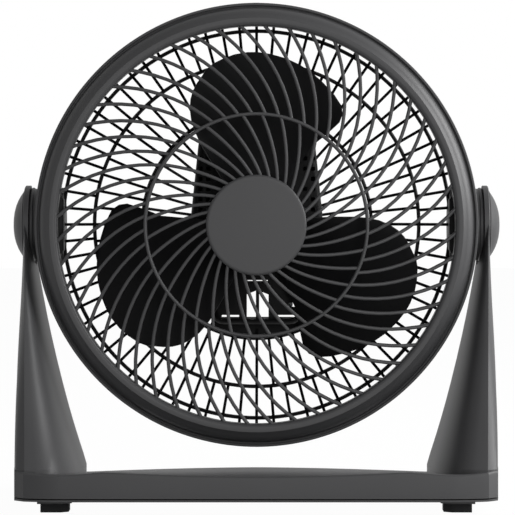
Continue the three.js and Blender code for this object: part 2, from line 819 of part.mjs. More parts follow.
function fan() {
  const hub = revolve([
    [shaftRadius + fitGap, fanHubFrontY],
    [fanHubRadius - 4, fanHubFrontY],
    [fanHubRadius, fanHubFrontY + 3],
    [fanHubRadius, fanHubBackY],
    [fanHubRadius - skin, fanHubBackY],
    [fanHubRadius - skin, fanHubFrontY + 4],
    [fanHubRadius - 5, fanHubFrontY + skin],
    [fanBossRadius, fanHubFrontY + skin],
    [fanBossRadius, fanHubBackY - 4],
    [shaftRadius + fitGap, fanHubBackY - 4],
  ], largeSides);
  const pieces = [hub];
  for (let i = 0; i < bladeCount; i++) {
    pieces.push(fanBladeSolid().rotateY((i * 2 * Math.PI) / bladeCount));
  }
  return join(pieces);
}

function motorShaft() {
  const backY = rearBracketBackY - 0.5;
  return revolve([
    [0, shaftFrontY],
    [shaftRadius - 0.5, shaftFrontY],
    [shaftRadius, shaftFrontY + 0.5],
    [shaftRadius, backY],
    [0, backY],
  ], smallSides);
}

function bladeNut() {
  const seat = fanHubFrontY - fitGap;
  const boreEnd = shaftFrontY - fitGap;
  return revolve([
    [0, nutFrontY],
    [nutRadius - 1.5, nutFrontY],
    [nutRadius, nutFrontY + 1.5],
    [nutRadius, seat],
    [shaftRadius + fitGap, seat],
    [shaftRadius + fitGap, boreEnd],
    [0, boreEnd],
  ], smallSides);
}

// ---- Speed control ------------------------------------------------------------------------------

function switchBody() {
  const depth = switchBackY - switchFrontY;
  const body = boxSolid(switchWidth, depth, switchWidth, 0, switchFrontY + depth / 2, 0);
  return cut(body, [discSolid(stemRadius + fitGap, switchFrontY + 1.5, switchBackY + 1, smallSides)]);
}

function switchStem() {
  return discSolid(stemRadius, switchFrontY + 1.5 + fitGap, knobFrontY + knobDepth / 2, smallSides);
}

function speedKnob() {
  const skirt = 0.4 * knobDepth;
  const body = revolve([
    [0, knobFrontY],
    [knobRadius, knobFrontY],
    [knobRadius - 0.6, knobFrontY + skirt],
    [knobRadius - 3, knobFrontY + skirt + 1],
    [0, knobFrontY + skirt + 1],
  ], largeSides);
  const gripHeight = 2 * (knobRadius - 2.5);
  const grip = boxSolid(knobGripWidth, knobDepth - 1, gripHeight, 0, knobFrontY + (knobDepth + 1) / 2, 0);
  const socketEnd = knobFrontY + knobDepth / 2 + fitGap;
  const socket = discSolid(stemRadius + fitGap, knobFrontY - 1, socketEnd, smallSides);
  return cut(join([body, grip]), [socket]);
}

// ---- Tilt pivots --------------------------------------------------------------------------------

function pivotWasher() {
  const seat = armDiscOuterX + fitGap;
  return ringSolid(pivotRadius + fitGap, washerRadius, seat, seat + washerDepth, smallSides);
}

function pivotScrew() {
  const seat = armDiscOuterX + washerDepth + 2 * fitGap;
  return revolve([
    [0, bossOuterX - pivotDepth],
    [pivotRadius, bossOuterX - pivotDepth],
    [pivotRadius, seat],
    [pivotHeadRadius, seat],
    [pivotHeadRadius - 0.8, seat + pivotHeadDepth - fitGap],
    [0, seat + pivotHeadDepth - fitGap],
  ], smallSides);
}

// A shallow dome that covers the pivot screw.
function capProfile(inset, seat) {
  const points = [[0, armDiscOuterX + capRise - inset]];
  for (const share of [0.5, 0.85, 1]) {
    const rise = (capRise - inset) * (1 - 0.75 * share ** 3);
    points.push([(capRadius - inset) * share, armDiscOuterX + rise]);
  }
  points.push([capRadius - inset, seat]);
  return points;
}

function pivotCap() {
  const seat = armDiscOuterX + fitGap;
  const outer = capProfile(0, seat);
  const inner = capProfile(capWall, seat).reverse();
  return revolve([...outer, ...inner], largeSides);
}

// ---- Stand --------------------------------------------------------------------------------------

// Matching points on the outer and inner edge of the U-shaped foot, from the rear end of one leg
// round the front to the rear end of the other.
function footprint(inset) {
  const sideMiddleX = standHalfWidth - standSideRadius;
  const legInnerX = standHalfWidth - legWidth;
  const barBackY = crossbarDepth - standHalfDepth;
  // Points on an arc about [x, y], with angles in radians.
  const arc = (x, y, radius, from, to, steps) => Array.from({ length: steps + 1 }, (_, i) => {
    const angle = THREE.MathUtils.lerp(from, to, i / steps);
    return [x + radius * Math.cos(angle), y + radius * Math.sin(angle)];
  });
  // Where a rounding touches the side's arc from inside, and the middle of that rounding.
  const meeting = (radius) => {
    const angle = Math.asin((standHalfDepth - radius) / (standSideRadius - radius));
    return [angle, sideMiddleX + (standSideRadius - radius) * Math.cos(angle)];
  };
  const [endAngle, endX] = meeting(legEndRadius);
  const [cornerAngle, cornerX] = meeting(standCornerRadius);
  const endY = standHalfDepth - legEndRadius;
  const endRound = legEndRadius - inset;
  const innerCorner = [legInnerX - standInnerRadius, barBackY + standInnerRadius];
  const outer = [
    ...arc(endX, endY, endRound, Math.PI / 2, endAngle, 4),
    ...arc(sideMiddleX, 0, standSideRadius - inset, endAngle, -cornerAngle, 4).slice(1, -1),
    ...arc(cornerX, -standHalfDepth + standCornerRadius, standCornerRadius - inset, -cornerAngle, -Math.PI / 2, 5),
  ];
  const inner = [
    ...arc(legInnerX + legEndRadius, endY, endRound, Math.PI / 2, Math.PI, 4),
    ...[0.25, 0.5, 0.75].map((share) => [legInnerX + inset, THREE.MathUtils.lerp(endY, innerCorner[1], share)]),
    ...arc(...innerCorner, standInnerRadius + inset, 0, -Math.PI / 2, 5),
  ];
  const right = outer.map((point, i) => [point, inner[i]]);
  for (const share of [0.75, 0.45, 0.15]) {
    const x = share * innerCorner[0];
    right.push([[x, inset - standHalfDepth], [x, barBackY - inset]]);
  }
  const left = right.map((pair) => pair.map(([x, y]) => [-x, y])).reverse();
  return [...right, ...left];
}

// The crossbar's top is level in the middle. Toward the legs its front edge rises and its rear edge
// falls, and the legs go on at the height of the rear edge.
function standTop(x, y) {
  const share = Math.min(1, Math.abs(x) / (standHalfWidth - legWidth)) ** 2;
  const back = THREE.MathUtils.clamp((y + standHalfDepth) / crossbarDepth, 0, 1);
  return crossbarTop + share * THREE.MathUtils.lerp(frontEdgeRise, -rearEdgeDrop, back);
}

// A bar along the footprint, with its upper edges rounded or left sharp.
function footBar(inset, bottom, topAt, edge) {
  return loft(footprint(inset).map(([outer, inner]) => {
    const from = new THREE.Vector2(...outer);
    const to = new THREE.Vector2(...inner);
    const step = to.clone().sub(from).normalize();
    const corner = (start, along, drop) => {
      const place = start.clone().addScaledVector(step, along);
      return new THREE.Vector3(place.x, place.y, drop === null ? bottom : topAt(start.x, start.y) - drop);
    };
    const rounding = edge ? [[0, edge], [0.3 * edge, 0.3 * edge], [edge, 0]] : [[0, 0]];
    return [
      corner(from, 0, null),
      ...rounding.map(([along, drop]) => corner(from, along, drop)),
      ...rounding.reverse().map(([along, drop]) => corner(to, -along, drop)),
      corner(to, 0, null),
    ];
  }));
}

// Horizontal section of one arm: a shallow arc outside and a deep one inside, meeting at two creases.
function armSection(z, inset, side) {
  const drop = Math.min(1, (pivotHeight - z) / (pivotHeight - armFootZ));
  const bulgeX = armDiscOuterX + armBulge * drop ** 0.6 - inset;
  const innerX = armInnerTop - armInset * (0.6 * drop + 0.4 * drop * drop) + inset;
  const creaseTop = armDiscOuterX - armCreaseInsetTop;
  const creaseX = THREE.MathUtils.lerp(creaseTop, standHalfWidth - armCreaseInsetBottom, drop);
  const half = THREE.MathUtils.lerp(armDiscRadius, armHalfDepth, drop) - 2.2 * inset;
  const points = [];
  for (let i = 0; i < 4; i++) {
    const share = (2 * i) / 4 - 1;
    points.push([creaseX + (bulgeX - creaseX) * (1 - share * share), share * half]);
  }
  for (let i = 0; i < 8; i++) {
    const angle = (i * Math.PI) / 8;
    points.push([creaseX - (creaseX - innerX) * Math.sin(angle), half * Math.cos(angle)]);
  }
  return points.map(([x, y]) => new THREE.Vector3(side * x, y, z));
}

function armSolid(side) {
  const levels = [0, 0.1, 0.3, 0.6, 1, 1.09];
  const heights = levels.map((drop) => THREE.MathUtils.lerp(pivotHeight, armFootZ, drop));
  const body = loft(heights.map((z) => armSection(z, 0, side)));
  const disc = alongX(discSolid(armDiscRadius, armInnerTop, armDiscOuterX, largeSides), side);
  const bossRoom = alongX(discSolid(bossRadius + 2, bossInnerX, armInnerTop, largeSides), side);
  const capRoom = alongX(discSolid(capRadius + fitGap, armDiscOuterX, outsideX, largeSides), side);
  const bore = alongX(discSolid(pivotRadius + fitGap, bossInnerX, outsideX, smallSides), side);
  const raise = (geometry) => geometry.translate(0, 0, pivotHeight);
  return cut(join([body, raise(disc)]), [bossRoom, capRoom, bore].map(raise));
}

function armHollow(side) {
  const top = pivotHeight - armHollowDrop;
  const heights = [shellBottom - 2, armFootZ, (armFootZ + top) / 2, top];
  return loft(heights.map((z) => armSection(z, skin + 0.4, side)));
}

function eachStandScrew(make) {
  const places = [
    [standHalfWidth - frontScrewInset[0], frontScrewInset[1] - standHalfDepth],
    [standHalfWidth - rearScrewInset[0], standHalfDepth - rearScrewInset[1]],
  ];
  return places.flatMap(([x, y]) => [make(x, y), make(-x, y)]);
}

function standColumn(radius, bottom, top, x, y) {
  return alongZ(discSolid(radius, bottom, top, screwSides)).translate(x, y, 0);
}

function standFrame() {
  const outside = join([footBar(0, shellBottom, standTop, standEdge), armSolid(1), armSolid(-1)]);
  const legHollow = footBar(skin, shellBottom - 1, (x, y) => standTop(x, y) - skin, 0);
  const shell = cut(outside, [legHollow, armHollow(1), armHollow(-1)]);
  const bossRadiusHere = standScrewRadius + fitGap + bossWall;
  const bosses = eachStandScrew((x, y) => (
    standColumn(bossRadiusHere, shellBottom, standTop(x, y) - skin / 2, x, y)
  ));
  const holes = eachStandScrew((x, y) => (
    standColumn(standScrewRadius + fitGap, shellBottom - 1, plateBottom + standScrewReach + 1, x, y)
  ));
  return cut(join([shell, ...bosses]), holes);
}

function eachFoot(make) {
  const ends = {
    front: [standHalfWidth - frontFootInset[0], frontFootInset[1] - standHalfDepth],
    rear: [standHalfWidth - rearFootInset[0], standHalfDepth - rearFootInset[1]],
  };
  return Object.entries(ends).flatMap(([end, [x, y]]) => [
    make(-x, y, `${end}_left`),
    make(x, y, `${end}_right`),
  ]);
}

// A foot's plan: square, with its inner front corner cut back.
function footSection(width, side, z) {
  const half = width / 2;
  const plan = [[-1, -1], [0.44, -1], [1, -0.55], [1, 0.8], [0.8, 1], [-0.8, 1], [-1, 0.8]];
  return plan.map(([u, v]) => new THREE.Vector3(-side * u * half, v * half, z));
}

function basePlate() {
  const top = plateBottom + plateDepth;
  const sheet = footBar(0, plateBottom, () => top, 0);
  const collars = eachFoot((x, y) => loft([
    footSection(collarWidth - 1, Math.sign(x), collarBottom),
    footSection(collarWidth, Math.sign(x), plateBottom + plateDepth / 2),
  ]).translate(x, y, 0));
  const holes = eachStandScrew((x, y) => (
    standColumn(standScrewRadius + fitGap, plateBottom - 1, top + 1, x, y)
  ));
  return cut(join([sheet, ...collars]), holes);
}

function rubberFoot(side) {
  return loft([
    footSection(footWidth - 1.4, side, 0),
    footSection(footWidth, side, 1),
    footSection(footWidth, side, collarBottom - fitGap),
  ]);
}

function standScrew() {
  const seat = plateBottom - fitGap;
  return alongZ(revolve([
    [0, seat - screwHeadDepth],
    [0.8 * screwHeadRadius, seat - screwHeadDepth],
    [screwHeadRadius, seat],
    [standScrewRadius, seat],
    [standScrewRadius, seat + standScrewReach],
    [0, seat + standScrewReach + 0.5],
  ], screwSides));
}

// ---- Assembly -----------------------------------------------------------------------------------

const fanAssembly = new THREE.Group();
const stand = new THREE.Group();
const head = new THREE.Group();
const rotor = new THREE.Group();
const knob = new THREE.Group();
fanAssembly.name = 'air_circulator_fan';
head.position.z = pivotHeight;
head.add(rotor, knob);
fanAssembly.add(stand, head);

function addNode(group, name, geometry, finish) {
  geometry.computeVertexNormals();
  const mesh = new THREE.Mesh(geometry, new THREE.MeshStandardMaterial({ ...finishes[finish], name: finish }));
  mesh.name = name;
  group.add(mesh);
  return mesh;
}

function addStand() {
  addNode(stand, 'stand_frame', standFrame(), 'charcoal');
  addNode(stand, 'base_plate', basePlate(), 'charcoal');
  eachFoot((x, y, name) => {
    addNode(stand, `foot_${name}`, rubberFoot(Math.sign(x)), 'rubber').position.set(x, y, 0);
  });
  eachStandScrew((x, y) => [x, y]).forEach(([x, y], i) => {
    addNode(stand, `base_screw_${i + 1}`, standScrew(), 'steel').position.set(x, y, 0);
  });
}

function addPivots() {
  for (const [name, side] of [['left', -1], ['right', 1]]) {
    const pivot = new THREE.Group();
    pivot.position.z = pivotHeight;
    pivot.rotation.z = (-side * Math.PI) / 2;
    addNode(pivot, `pivot_cap_${name}`, pivotCap(), 'charcoal');
    addNode(pivot, `pivot_screw_${name}`, pivotScrew(), 'steel');
    addNode(pivot, `pivot_washer_${name}`, pivotWasher(), 'steel');
    stand.add(pivot);
  }
}

function addHead() {
  addNode(head, 'front_grille', frontGrille(), 'grille');
  addNode(head, 'rear_housing', rearHousing(), 'charcoal');
  addNode(head, 'motor_front_cover', motorFrontCover(), 'charcoal');
  addNode(head, 'motor_rear_cover', motorRearCover(), 'charcoal');
  addNode(head, 'switch_body', switchBody(), 'rubber');
  addNode(head, 'cord_inlet', cordInlet(), 'rubber').position.set(inletX, 0, inletZ);
  eachCoverScrew((x, z) => [x, z]).forEach(([x, z], i) => {
    addNode(head, `cover_screw_${i + 1}`, coverScrew(), 'steel').position.set(x, 0, z);
  });
}

function addMotor() {
  const stator = ringSolid(rotorCoreRadius + 0.5, motorRadius, statorFrontY, statorBackY, largeSides);
  addNode(head, 'motor_bracket_front', motorBracket(bracketFrontY, 1), 'iron');
  addNode(head, 'motor_bracket_rear', motorBracket(rearBracketBackY, -1), 'iron');
  addNode(head, 'stator_core', stator, 'iron');
  addNode(head, 'stator_coil_front', coil(frontCoilY), 'copper');
  addNode(head, 'stator_coil_rear', coil(statorBackY + fitGap), 'copper');
  addNode(head, 'bearing_front', bearing(bracketFrontY + fitGap), 'steel');
  addNode(head, 'bearing_rear', bearing(rearBracketBackY - fitGap - bearingDepth), 'steel');
}

function addRotor() {
  const coreInner = shaftRadius + fitGap;
  const core = ringSolid(coreInner, rotorCoreRadius, statorFrontY - 1, statorBackY + 1, mediumSides);
  addNode(rotor, 'fan_blade', fan(), 'blade');
  addNode(rotor, 'motor_shaft', motorShaft(), 'steel');
  addNode(rotor, 'rotor_core', core, 'iron');
  addNode(rotor, 'blade_nut', bladeNut(), 'blade');
}

function addKnob() {
  addNode(knob, 'speed_knob', speedKnob(), 'charcoal');
  addNode(knob, 'switch_stem', switchStem(), 'steel');
}

addStand();
addPivots();
addHead();
addMotor();
addRotor();
addKnob();

export default fanAssembly;
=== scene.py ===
# %% [markdown]
# # An air circulator fan
# A round fan head with swept grilles tilts between the arms of a U-shaped stand. The CAD model gives
# the frame: every piece below is made in metres, in the same place as its solid, and rides on the
# body that carries it.

import json
import math

import bmesh
import bpy
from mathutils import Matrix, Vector

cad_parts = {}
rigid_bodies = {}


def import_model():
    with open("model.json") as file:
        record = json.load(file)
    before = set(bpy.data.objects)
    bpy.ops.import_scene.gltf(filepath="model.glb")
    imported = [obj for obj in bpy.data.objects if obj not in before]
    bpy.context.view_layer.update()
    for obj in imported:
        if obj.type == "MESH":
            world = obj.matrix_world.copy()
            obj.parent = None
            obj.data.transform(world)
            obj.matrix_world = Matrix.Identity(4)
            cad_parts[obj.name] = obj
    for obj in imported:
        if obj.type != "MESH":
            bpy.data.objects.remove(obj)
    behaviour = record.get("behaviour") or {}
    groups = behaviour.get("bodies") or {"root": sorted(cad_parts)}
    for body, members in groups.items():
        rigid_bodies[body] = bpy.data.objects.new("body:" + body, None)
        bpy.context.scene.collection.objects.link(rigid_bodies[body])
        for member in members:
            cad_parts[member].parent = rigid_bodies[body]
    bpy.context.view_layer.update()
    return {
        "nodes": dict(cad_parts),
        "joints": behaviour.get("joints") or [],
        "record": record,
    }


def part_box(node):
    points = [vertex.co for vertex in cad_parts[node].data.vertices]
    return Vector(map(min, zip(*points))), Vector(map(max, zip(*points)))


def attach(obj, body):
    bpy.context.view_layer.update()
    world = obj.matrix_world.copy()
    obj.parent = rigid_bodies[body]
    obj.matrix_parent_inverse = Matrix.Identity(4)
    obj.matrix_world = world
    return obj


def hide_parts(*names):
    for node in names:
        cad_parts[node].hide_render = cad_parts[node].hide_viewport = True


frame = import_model()

# %% [markdown]
# ## Measures that many pieces share
# Real sizes are written in millimetres and turned into metres by one factor. The height of the tilt
# axis comes from the frame, so that the head is drawn round the same centre as its solids.

# %% Shared measures
MM = 0.001
FULL_TURN = 2 * math.pi
tilt_joint = next(joint for joint in frame["joints"] if joint["name"] == "head_tilt")
AXIS_HEIGHT = tilt_joint["pos_m"][2]
HEAD_CENTRE = Vector((0, 0, AXIS_HEIGHT))
FAN_AXIS = Vector((0, 1, 0))
TILT_AXIS = Vector((1, 0, 0))
print("tilt axis height", AXIS_HEIGHT)

# %% [markdown]
# ## The camera
# The camera stands about 1.6 m in front and a little above the tilt axis. The distance is an
# estimate, because the photograph holds nothing of known size. A level camera with a small lens
# shift keeps the uprights of the stand upright, as the photograph does.

# %% Camera
PHOTO_SIZE = 515
EYE = Vector((6.5 * MM, -1638 * MM, 169.3 * MM))
EYE_PIXEL = (268, 204.5)
METRES_PER_PIXEL = 0.5705 * MM
SENSOR = 36

camera_data = bpy.data.cameras.new("photo_camera")
camera = bpy.data.objects.new("photo_camera", camera_data)
bpy.context.scene.collection.objects.link(camera)
bpy.context.scene.camera = camera
camera.location = EYE
camera.rotation_euler = (math.radians(90), 0, 0)
camera_data.sensor_width = SENSOR
camera_data.lens = -EYE.y / METRES_PER_PIXEL / PHOTO_SIZE * SENSOR
camera_data.shift_x = (PHOTO_SIZE / 2 - EYE_PIXEL[0]) / PHOTO_SIZE
camera_data.shift_y = (EYE_PIXEL[1] - PHOTO_SIZE / 2) / PHOTO_SIZE
camera_data.clip_end = 30
print("focal length", round(camera_data.lens, 1), "mm")

# %% [markdown]
# ## Shader maths as Python
# A material is a small graph. Wrapping a socket in a class that knows about +, - and * lets the
# graph be written as a formula, and one method adds every other kind of node.

# %% Shader helpers
class Wire:
    """An output socket that can be added, taken away and multiplied."""

    def __init__(self, finish, socket):
        self.finish = finish
        self.socket = socket

    def _math(self, operation, first, second):
        return self.finish.node("ShaderNodeMath", {"operation": operation}, {0: first, 1: second})

    def __add__(self, other):
        return self._math("ADD", self, other)

    def __mul__(self, other):
        return self._math("MULTIPLY", self, other)

    def __sub__(self, other):
        return self._math("SUBTRACT", self, other)

    def __rsub__(self, other):
        return self._math("SUBTRACT", other, self)

    __radd__ = __add__
    __rmul__ = __mul__

# %% [markdown]
# A finish is a material. Its methods set a socket of the principled shader to a number or to a wire,
# and add noise, bumps and tints.

# %% Finishes as a class
class Finish:
    """A material, and short ways to add nodes to it."""

    def __init__(self, name, colour, roughness, metallic=0.0):
        self.material = bpy.data.materials.new(name)
        self.material.use_nodes = True
        self.tree = self.material.node_tree
        self.shader = self.tree.nodes["Principled BSDF"]
        self.material.diffuse_color = (*colour, 1)
        self.feed("Base Color", (*colour, 1))
        self.feed("Roughness", roughness)
        self.feed("Metallic", metallic)

    def connect(self, target, value):
        if isinstance(value, Wire):
            self.tree.links.new(value.socket, target)
        else:
            target.default_value = value

    def feed(self, socket, value):
        self.connect(self.shader.inputs[socket], value)

    def node(self, kind, settings=None, inputs=None, output=0):
        node = self.tree.nodes.new(kind)
        for setting, value in (settings or {}).items():
            setattr(node, setting, value)
        for name, value in (inputs or {}).items():
            self.connect(node.inputs[name], value)
        return Wire(self, node.outputs[output])

    def place(self):
        return self.node("ShaderNodeTexCoord", output="Object")

    def noise(self, scale, detail=2.0):
        inputs = {"Vector": self.place(), "Scale": scale, "Detail": detail}
        return self.node("ShaderNodeTexNoise", inputs=inputs)

    def bump(self, height, depth, strength=1.0):
        inputs = {"Height": height, "Distance": depth, "Strength": strength}
        self.feed("Normal", self.node("ShaderNodeBump", inputs=inputs))

    def tint(self, mask, low, high):
        """The base colour runs from one colour to another with a mask."""
        settings = {"data_type": "RGBA"}
        inputs = {0: mask, 6: (*low, 1), 7: (*high, 1)}
        self.feed("Base Color", self.node("ShaderNodeMix", settings, inputs, output=2))


def linear(*srgb):
    """An 8-bit colour as the photograph shows it, in Blender's linear numbers."""
    return tuple(((c / 255 + 0.055) / 1.055) ** 2.4 for c in srgb)


# %% [markdown]
# ## Finishes
# The stand and the housings are moulded in one charcoal plastic with a fine spark-eroded grain, the
# grille is the same plastic with less grain, and the blades are darker, with hardly any grain. Noise
# finer than half a millimetre gives the grain, and a broad, faint noise keeps large faces from
# looking computed.

# %% Plastics
def moulded(name, colour, roughness, grain, level=0.4):
    finish = Finish(name, colour, roughness)
    cloud = finish.noise(14.0)
    fine = finish.noise(2400.0, detail=3.0)
    lighter = [c * 1.07 for c in colour]
    darker = [c * 0.93 for c in colour]
    finish.tint(cloud, darker, lighter)
    finish.feed("Roughness", roughness + 0.08 * (fine - 0.5))
    finish.feed("Specular IOR Level", level)
    finish.bump(fine, grain * MM, 0.5)
    return finish.material


CHARCOAL = moulded("charcoal_plastic", linear(52, 52, 53), 0.5, 0.03, level=0.22)
GRILLE_PLASTIC = moulded("grille_plastic", linear(52, 52, 53), 0.42, 0.012, level=0.22)
BLACK_PLASTIC = moulded("black_plastic", linear(9, 9, 10), 0.5, 0.02, level=0.1)
BLADE_PLASTIC = moulded("blade_plastic", linear(16, 16, 17), 0.58, 0.008, level=0.1)
RUBBER = moulded("rubber", linear(24, 24, 25), 0.85, 0.05, level=0.25)
DIAL_PAINT = moulded("dial_paint", linear(205, 205, 203), 0.6, 0.01)

# %% [markdown]
# The screws are zinc plated steel, the motor's core is a stack of thin sheets, and its coils are
# wound from enamelled wire, so their patterns are bands along the fan's axis.

# %% Metals
def banded(name, low, high, roughness, metallic, scale, depth):
    """A metal with a fine band pattern along the fan's axis."""
    finish = Finish(name, high, roughness, metallic)
    settings = {"wave_type": "BANDS", "bands_direction": "Y"}
    inputs = {"Vector": finish.place(), "Scale": scale}
    bands = finish.node("ShaderNodeTexWave", settings, inputs, output=1)
    finish.tint(bands, low, high)
    finish.bump(bands, depth * MM)
    return finish.material


def plated(name, colour):
    finish = Finish(name, colour, 0.3, 1.0)
    finish.feed("Roughness", 0.24 + 0.16 * finish.noise(420.0))
    return finish.material


STEEL = plated("plated_steel", linear(178, 180, 182))
IRON = banded("sheet_stack", linear(60, 61, 63), linear(112, 113, 116), 0.5, 0.85, 320.0, 0.1)
COPPER = banded("wound_wire", linear(120, 60, 30), linear(190, 110, 62), 0.35, 0.9, 500.0, 0.2)
print("materials", len(bpy.data.materials))

# %% [markdown]
# ## Working by hand
# Most pieces start as a line or an outline drawn vertex by vertex. A cross-section is spun round the
# fan's axis, as on a lathe, an outline is extruded, and a row of outlines is bridged into a skin.
# These helpers hold the few operators that every piece needs.

# %% Drawing helpers
MERGE = 0.002 * MM


def start_piece(name):
    """A new, empty mesh in edit mode, with nothing else selected."""
    bpy.ops.object.select_all(action="DESELECT")
    bpy.ops.mesh.primitive_plane_add(size=MM)
    piece = bpy.context.object
    piece.name = piece.data.name = name
    bpy.ops.object.mode_set(mode="EDIT")
    bpy.ops.mesh.select_mode(type="VERT")
    bpy.ops.mesh.select_all(action="SELECT")
    bpy.ops.mesh.delete(type="VERT")
    return piece


def draw_line(points):
    """Extrudes one vertex from point to point, and leaves the whole line selected."""
    bpy.ops.mesh.select_all(action="DESELECT")
    bpy.ops.mesh.primitive_circle_add(vertices=3, radius=MM, location=points[0])
    bpy.ops.mesh.merge(type="CENTER")
    for last, point in zip(points, points[1:]):
        step = Vector(point) - Vector(last)
        bpy.ops.mesh.extrude_vertices_move(TRANSFORM_OT_translate={"value": step})
    bpy.ops.mesh.select_linked()


def draw_outline(points, fill=True):
    """A closed line, with a face in it if wanted, left selected."""
    draw_line([*points, points[0]])
    bpy.ops.mesh.remove_doubles(threshold=MERGE)
    if fill:
        bpy.ops.mesh.edge_face_add()

# %% [markdown]
# What is selected can be extruded or turned about a point, and is chosen by its place.

# %% Moving and selecting
def extrude_by(step):
    bpy.ops.mesh.extrude_region_move(TRANSFORM_OT_translate={"value": Vector(step)})


def turn_by(angle, centre):
    """Turns what is selected. Positive angles turn from +X up toward +Z, seen from the front."""
    bpy.ops.transform.rotate(value=angle, orient_axis="Y", center_override=centre)


def select_where(test):
    """Selects the vertices whose place passes a test, and the edges and faces between them."""
    bpy.ops.mesh.select_mode(type="VERT")
    mesh = bmesh.from_edit_mesh(bpy.context.object.data)
    for vertex in mesh.verts:
        vertex.select = test(vertex.co)
    mesh.select_flush_mode()
    bmesh.update_edit_mesh(bpy.context.object.data)

# %% [markdown]
# Spin makes round walls, and with duplicates it repeats a piece. Bridging skins a row of outlines.

# %% Spinning and skinning
def spin_round(steps, centre=HEAD_CENTRE, axis=FAN_AXIS):
    bpy.ops.mesh.spin(steps=steps, angle=FULL_TURN, center=centre, axis=axis)


def copies_round(count):
    """Repeats all of the mesh evenly round the fan's axis."""
    bpy.ops.mesh.select_all(action="SELECT")
    angle = FULL_TURN * (count - 1) / count
    bpy.ops.mesh.spin(steps=count - 1, angle=angle, dupli=True, center=HEAD_CENTRE, axis=FAN_AXIS)


def bridge_rows(rows, closed=True, capped=False):
    """Draws lines or outlines one after the other, skins them, and may fill the two ends."""
    bpy.ops.mesh.select_all(action="SELECT")
    bpy.ops.mesh.hide()
    for row in rows:
        if closed:
            draw_outline(row, fill=False)
        else:
            draw_line(row)
    bpy.ops.mesh.select_all(action="SELECT")
    bpy.ops.mesh.bridge_edge_loops()
    bpy.ops.mesh.reveal(select=False)
    for end in (rows[0], rows[-1]) if capped else ():
        places = {tuple(round(c, 6) for c in point) for point in end}
        select_where(lambda co: tuple(round(c, 6) for c in co) in places)
        bpy.ops.mesh.edge_face_add()


# %% [markdown]
# A drawn piece is closed and its faces are turned outward before it leaves edit mode. A modifier is
# applied at once.

# %% Finishing helpers
CLOSE = 0.01 * MM


def make_active(piece):
    bpy.ops.object.select_all(action="DESELECT")
    piece.select_set(True)
    bpy.context.view_layer.objects.active = piece


def add_modifier(piece, kind, **settings):
    make_active(piece)
    modifier = piece.modifiers.new(kind.lower(), kind)
    for setting, value in settings.items():
        setattr(modifier, setting, value)
    bpy.ops.object.modifier_apply(modifier=modifier.name)


def round_edges(piece, width, segments=2, angle=40):
    add_modifier(piece, "BEVEL", width=width * MM, segments=segments, limit_method="ANGLE",
                 angle_limit=math.radians(angle))


def close_mesh():
    bpy.ops.mesh.select_all(action="SELECT")
    bpy.ops.mesh.remove_doubles(threshold=MERGE)
    bpy.ops.mesh.normals_make_consistent(inside=False)


def leave_edit(piece):
    """Merges, turns the faces outward and goes back to object mode."""
    close_mesh()
    bpy.ops.object.mode_set(mode="OBJECT")
    return piece

# %% [markdown]
# Boolean cuts and joins need closed skins. They can leave slivers, which are merged.

# %% Cutting and joining
def cut_away(piece, *cutters):
    """Takes other meshes from a piece and throws them away."""
    for cutter in cutters:
        add_modifier(piece, "BOOLEAN", operation="DIFFERENCE", solver="EXACT", object=cutter)
        bpy.data.objects.remove(cutter)


def tidy_skin(piece):
    """Merges the slivers that a Boolean leaves where two skins nearly touch."""
    make_active(piece)
    bpy.ops.object.mode_set(mode="EDIT")
    bpy.ops.mesh.select_all(action="SELECT")
    bpy.ops.mesh.remove_doubles(threshold=CLOSE)
    bpy.ops.mesh.dissolve_degenerate(threshold=CLOSE)
    bpy.ops.object.mode_set(mode="OBJECT")


def fuse(piece, *others):
    """Joins pieces that overlap into one skin."""
    for other in others:
        add_modifier(piece, "BOOLEAN", operation="UNION", solver="EXACT", object=other)
        bpy.data.objects.remove(other)
        tidy_skin(piece)

# %% [markdown]
# Last, a piece gets its finish and its body, and the nodes that it stands for are hidden.

# %% Finishing a piece
def finish_piece(piece, body, material, replaced=(), smooth=35):
    """Gives a piece its finish and its body, and hides the nodes that it stands for."""
    make_active(piece)
    bpy.ops.object.transform_apply(location=True, rotation=True, scale=True)
    bpy.ops.object.shade_smooth_by_angle(angle=math.radians(smooth))
    piece.data.materials.clear()
    piece.data.materials.append(material)
    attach(piece, body)
    if replaced:
        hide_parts(*replaced)
    print(piece.name, len(piece.data.polygons), "faces")


# %% [markdown]
# Most of the fan is round, so its points are given from the head's centre, and the stand's from the
# floor. An arc gives the round stretch of an outline, and a profile is turned as on a lathe.

# %% Shapes that come back
def at_head(x, y, z):
    """A point by its distance from the head's centre, in millimetres."""
    return Vector((x * MM, y * MM, AXIS_HEIGHT + z * MM))


def on_floor(x, y, z):
    """A point by its distance from the middle of the floor under the fan, in millimetres."""
    return Vector((x * MM, y * MM, z * MM))


def arc(centre, radius, start, end, steps):
    """Points round a centre from one angle to another, in degrees."""
    angles = [math.radians(start + (end - start) * i / steps) for i in range(steps + 1)]
    return [(centre[0] + radius * math.cos(a), centre[1] + radius * math.sin(a)) for a in angles]


def turned(name, profile, steps, closed=True, x=0.0, z=0.0):
    """A piece turned round the fan's axis, or one beside it, from (radius, y) pairs."""
    piece = start_piece(name)
    points = [at_head(x + radius, y, z) for radius, y in profile]
    draw_line(points + points[:1] if closed else points)
    spin_round(steps, centre=at_head(x, 0, z))
    return leave_edit(piece)


def turned_pivot(name, profile, steps, side):
    """A piece turned round the tilt axis, from (radius, x) pairs that start and end on the axis."""
    piece = start_piece(name)
    draw_line([at_head(side * x, 0, radius) for radius, x in profile])
    spin_round(steps, axis=TILT_AXIS)
    return leave_edit(piece)


# %% [markdown]
# ## Front grille: the rim
# The rim is a ring with a rounded inner edge, a narrow flat crest, a crease, and a broad band that
# slopes outward to a groove. It is one closed section, spun round the fan's axis.

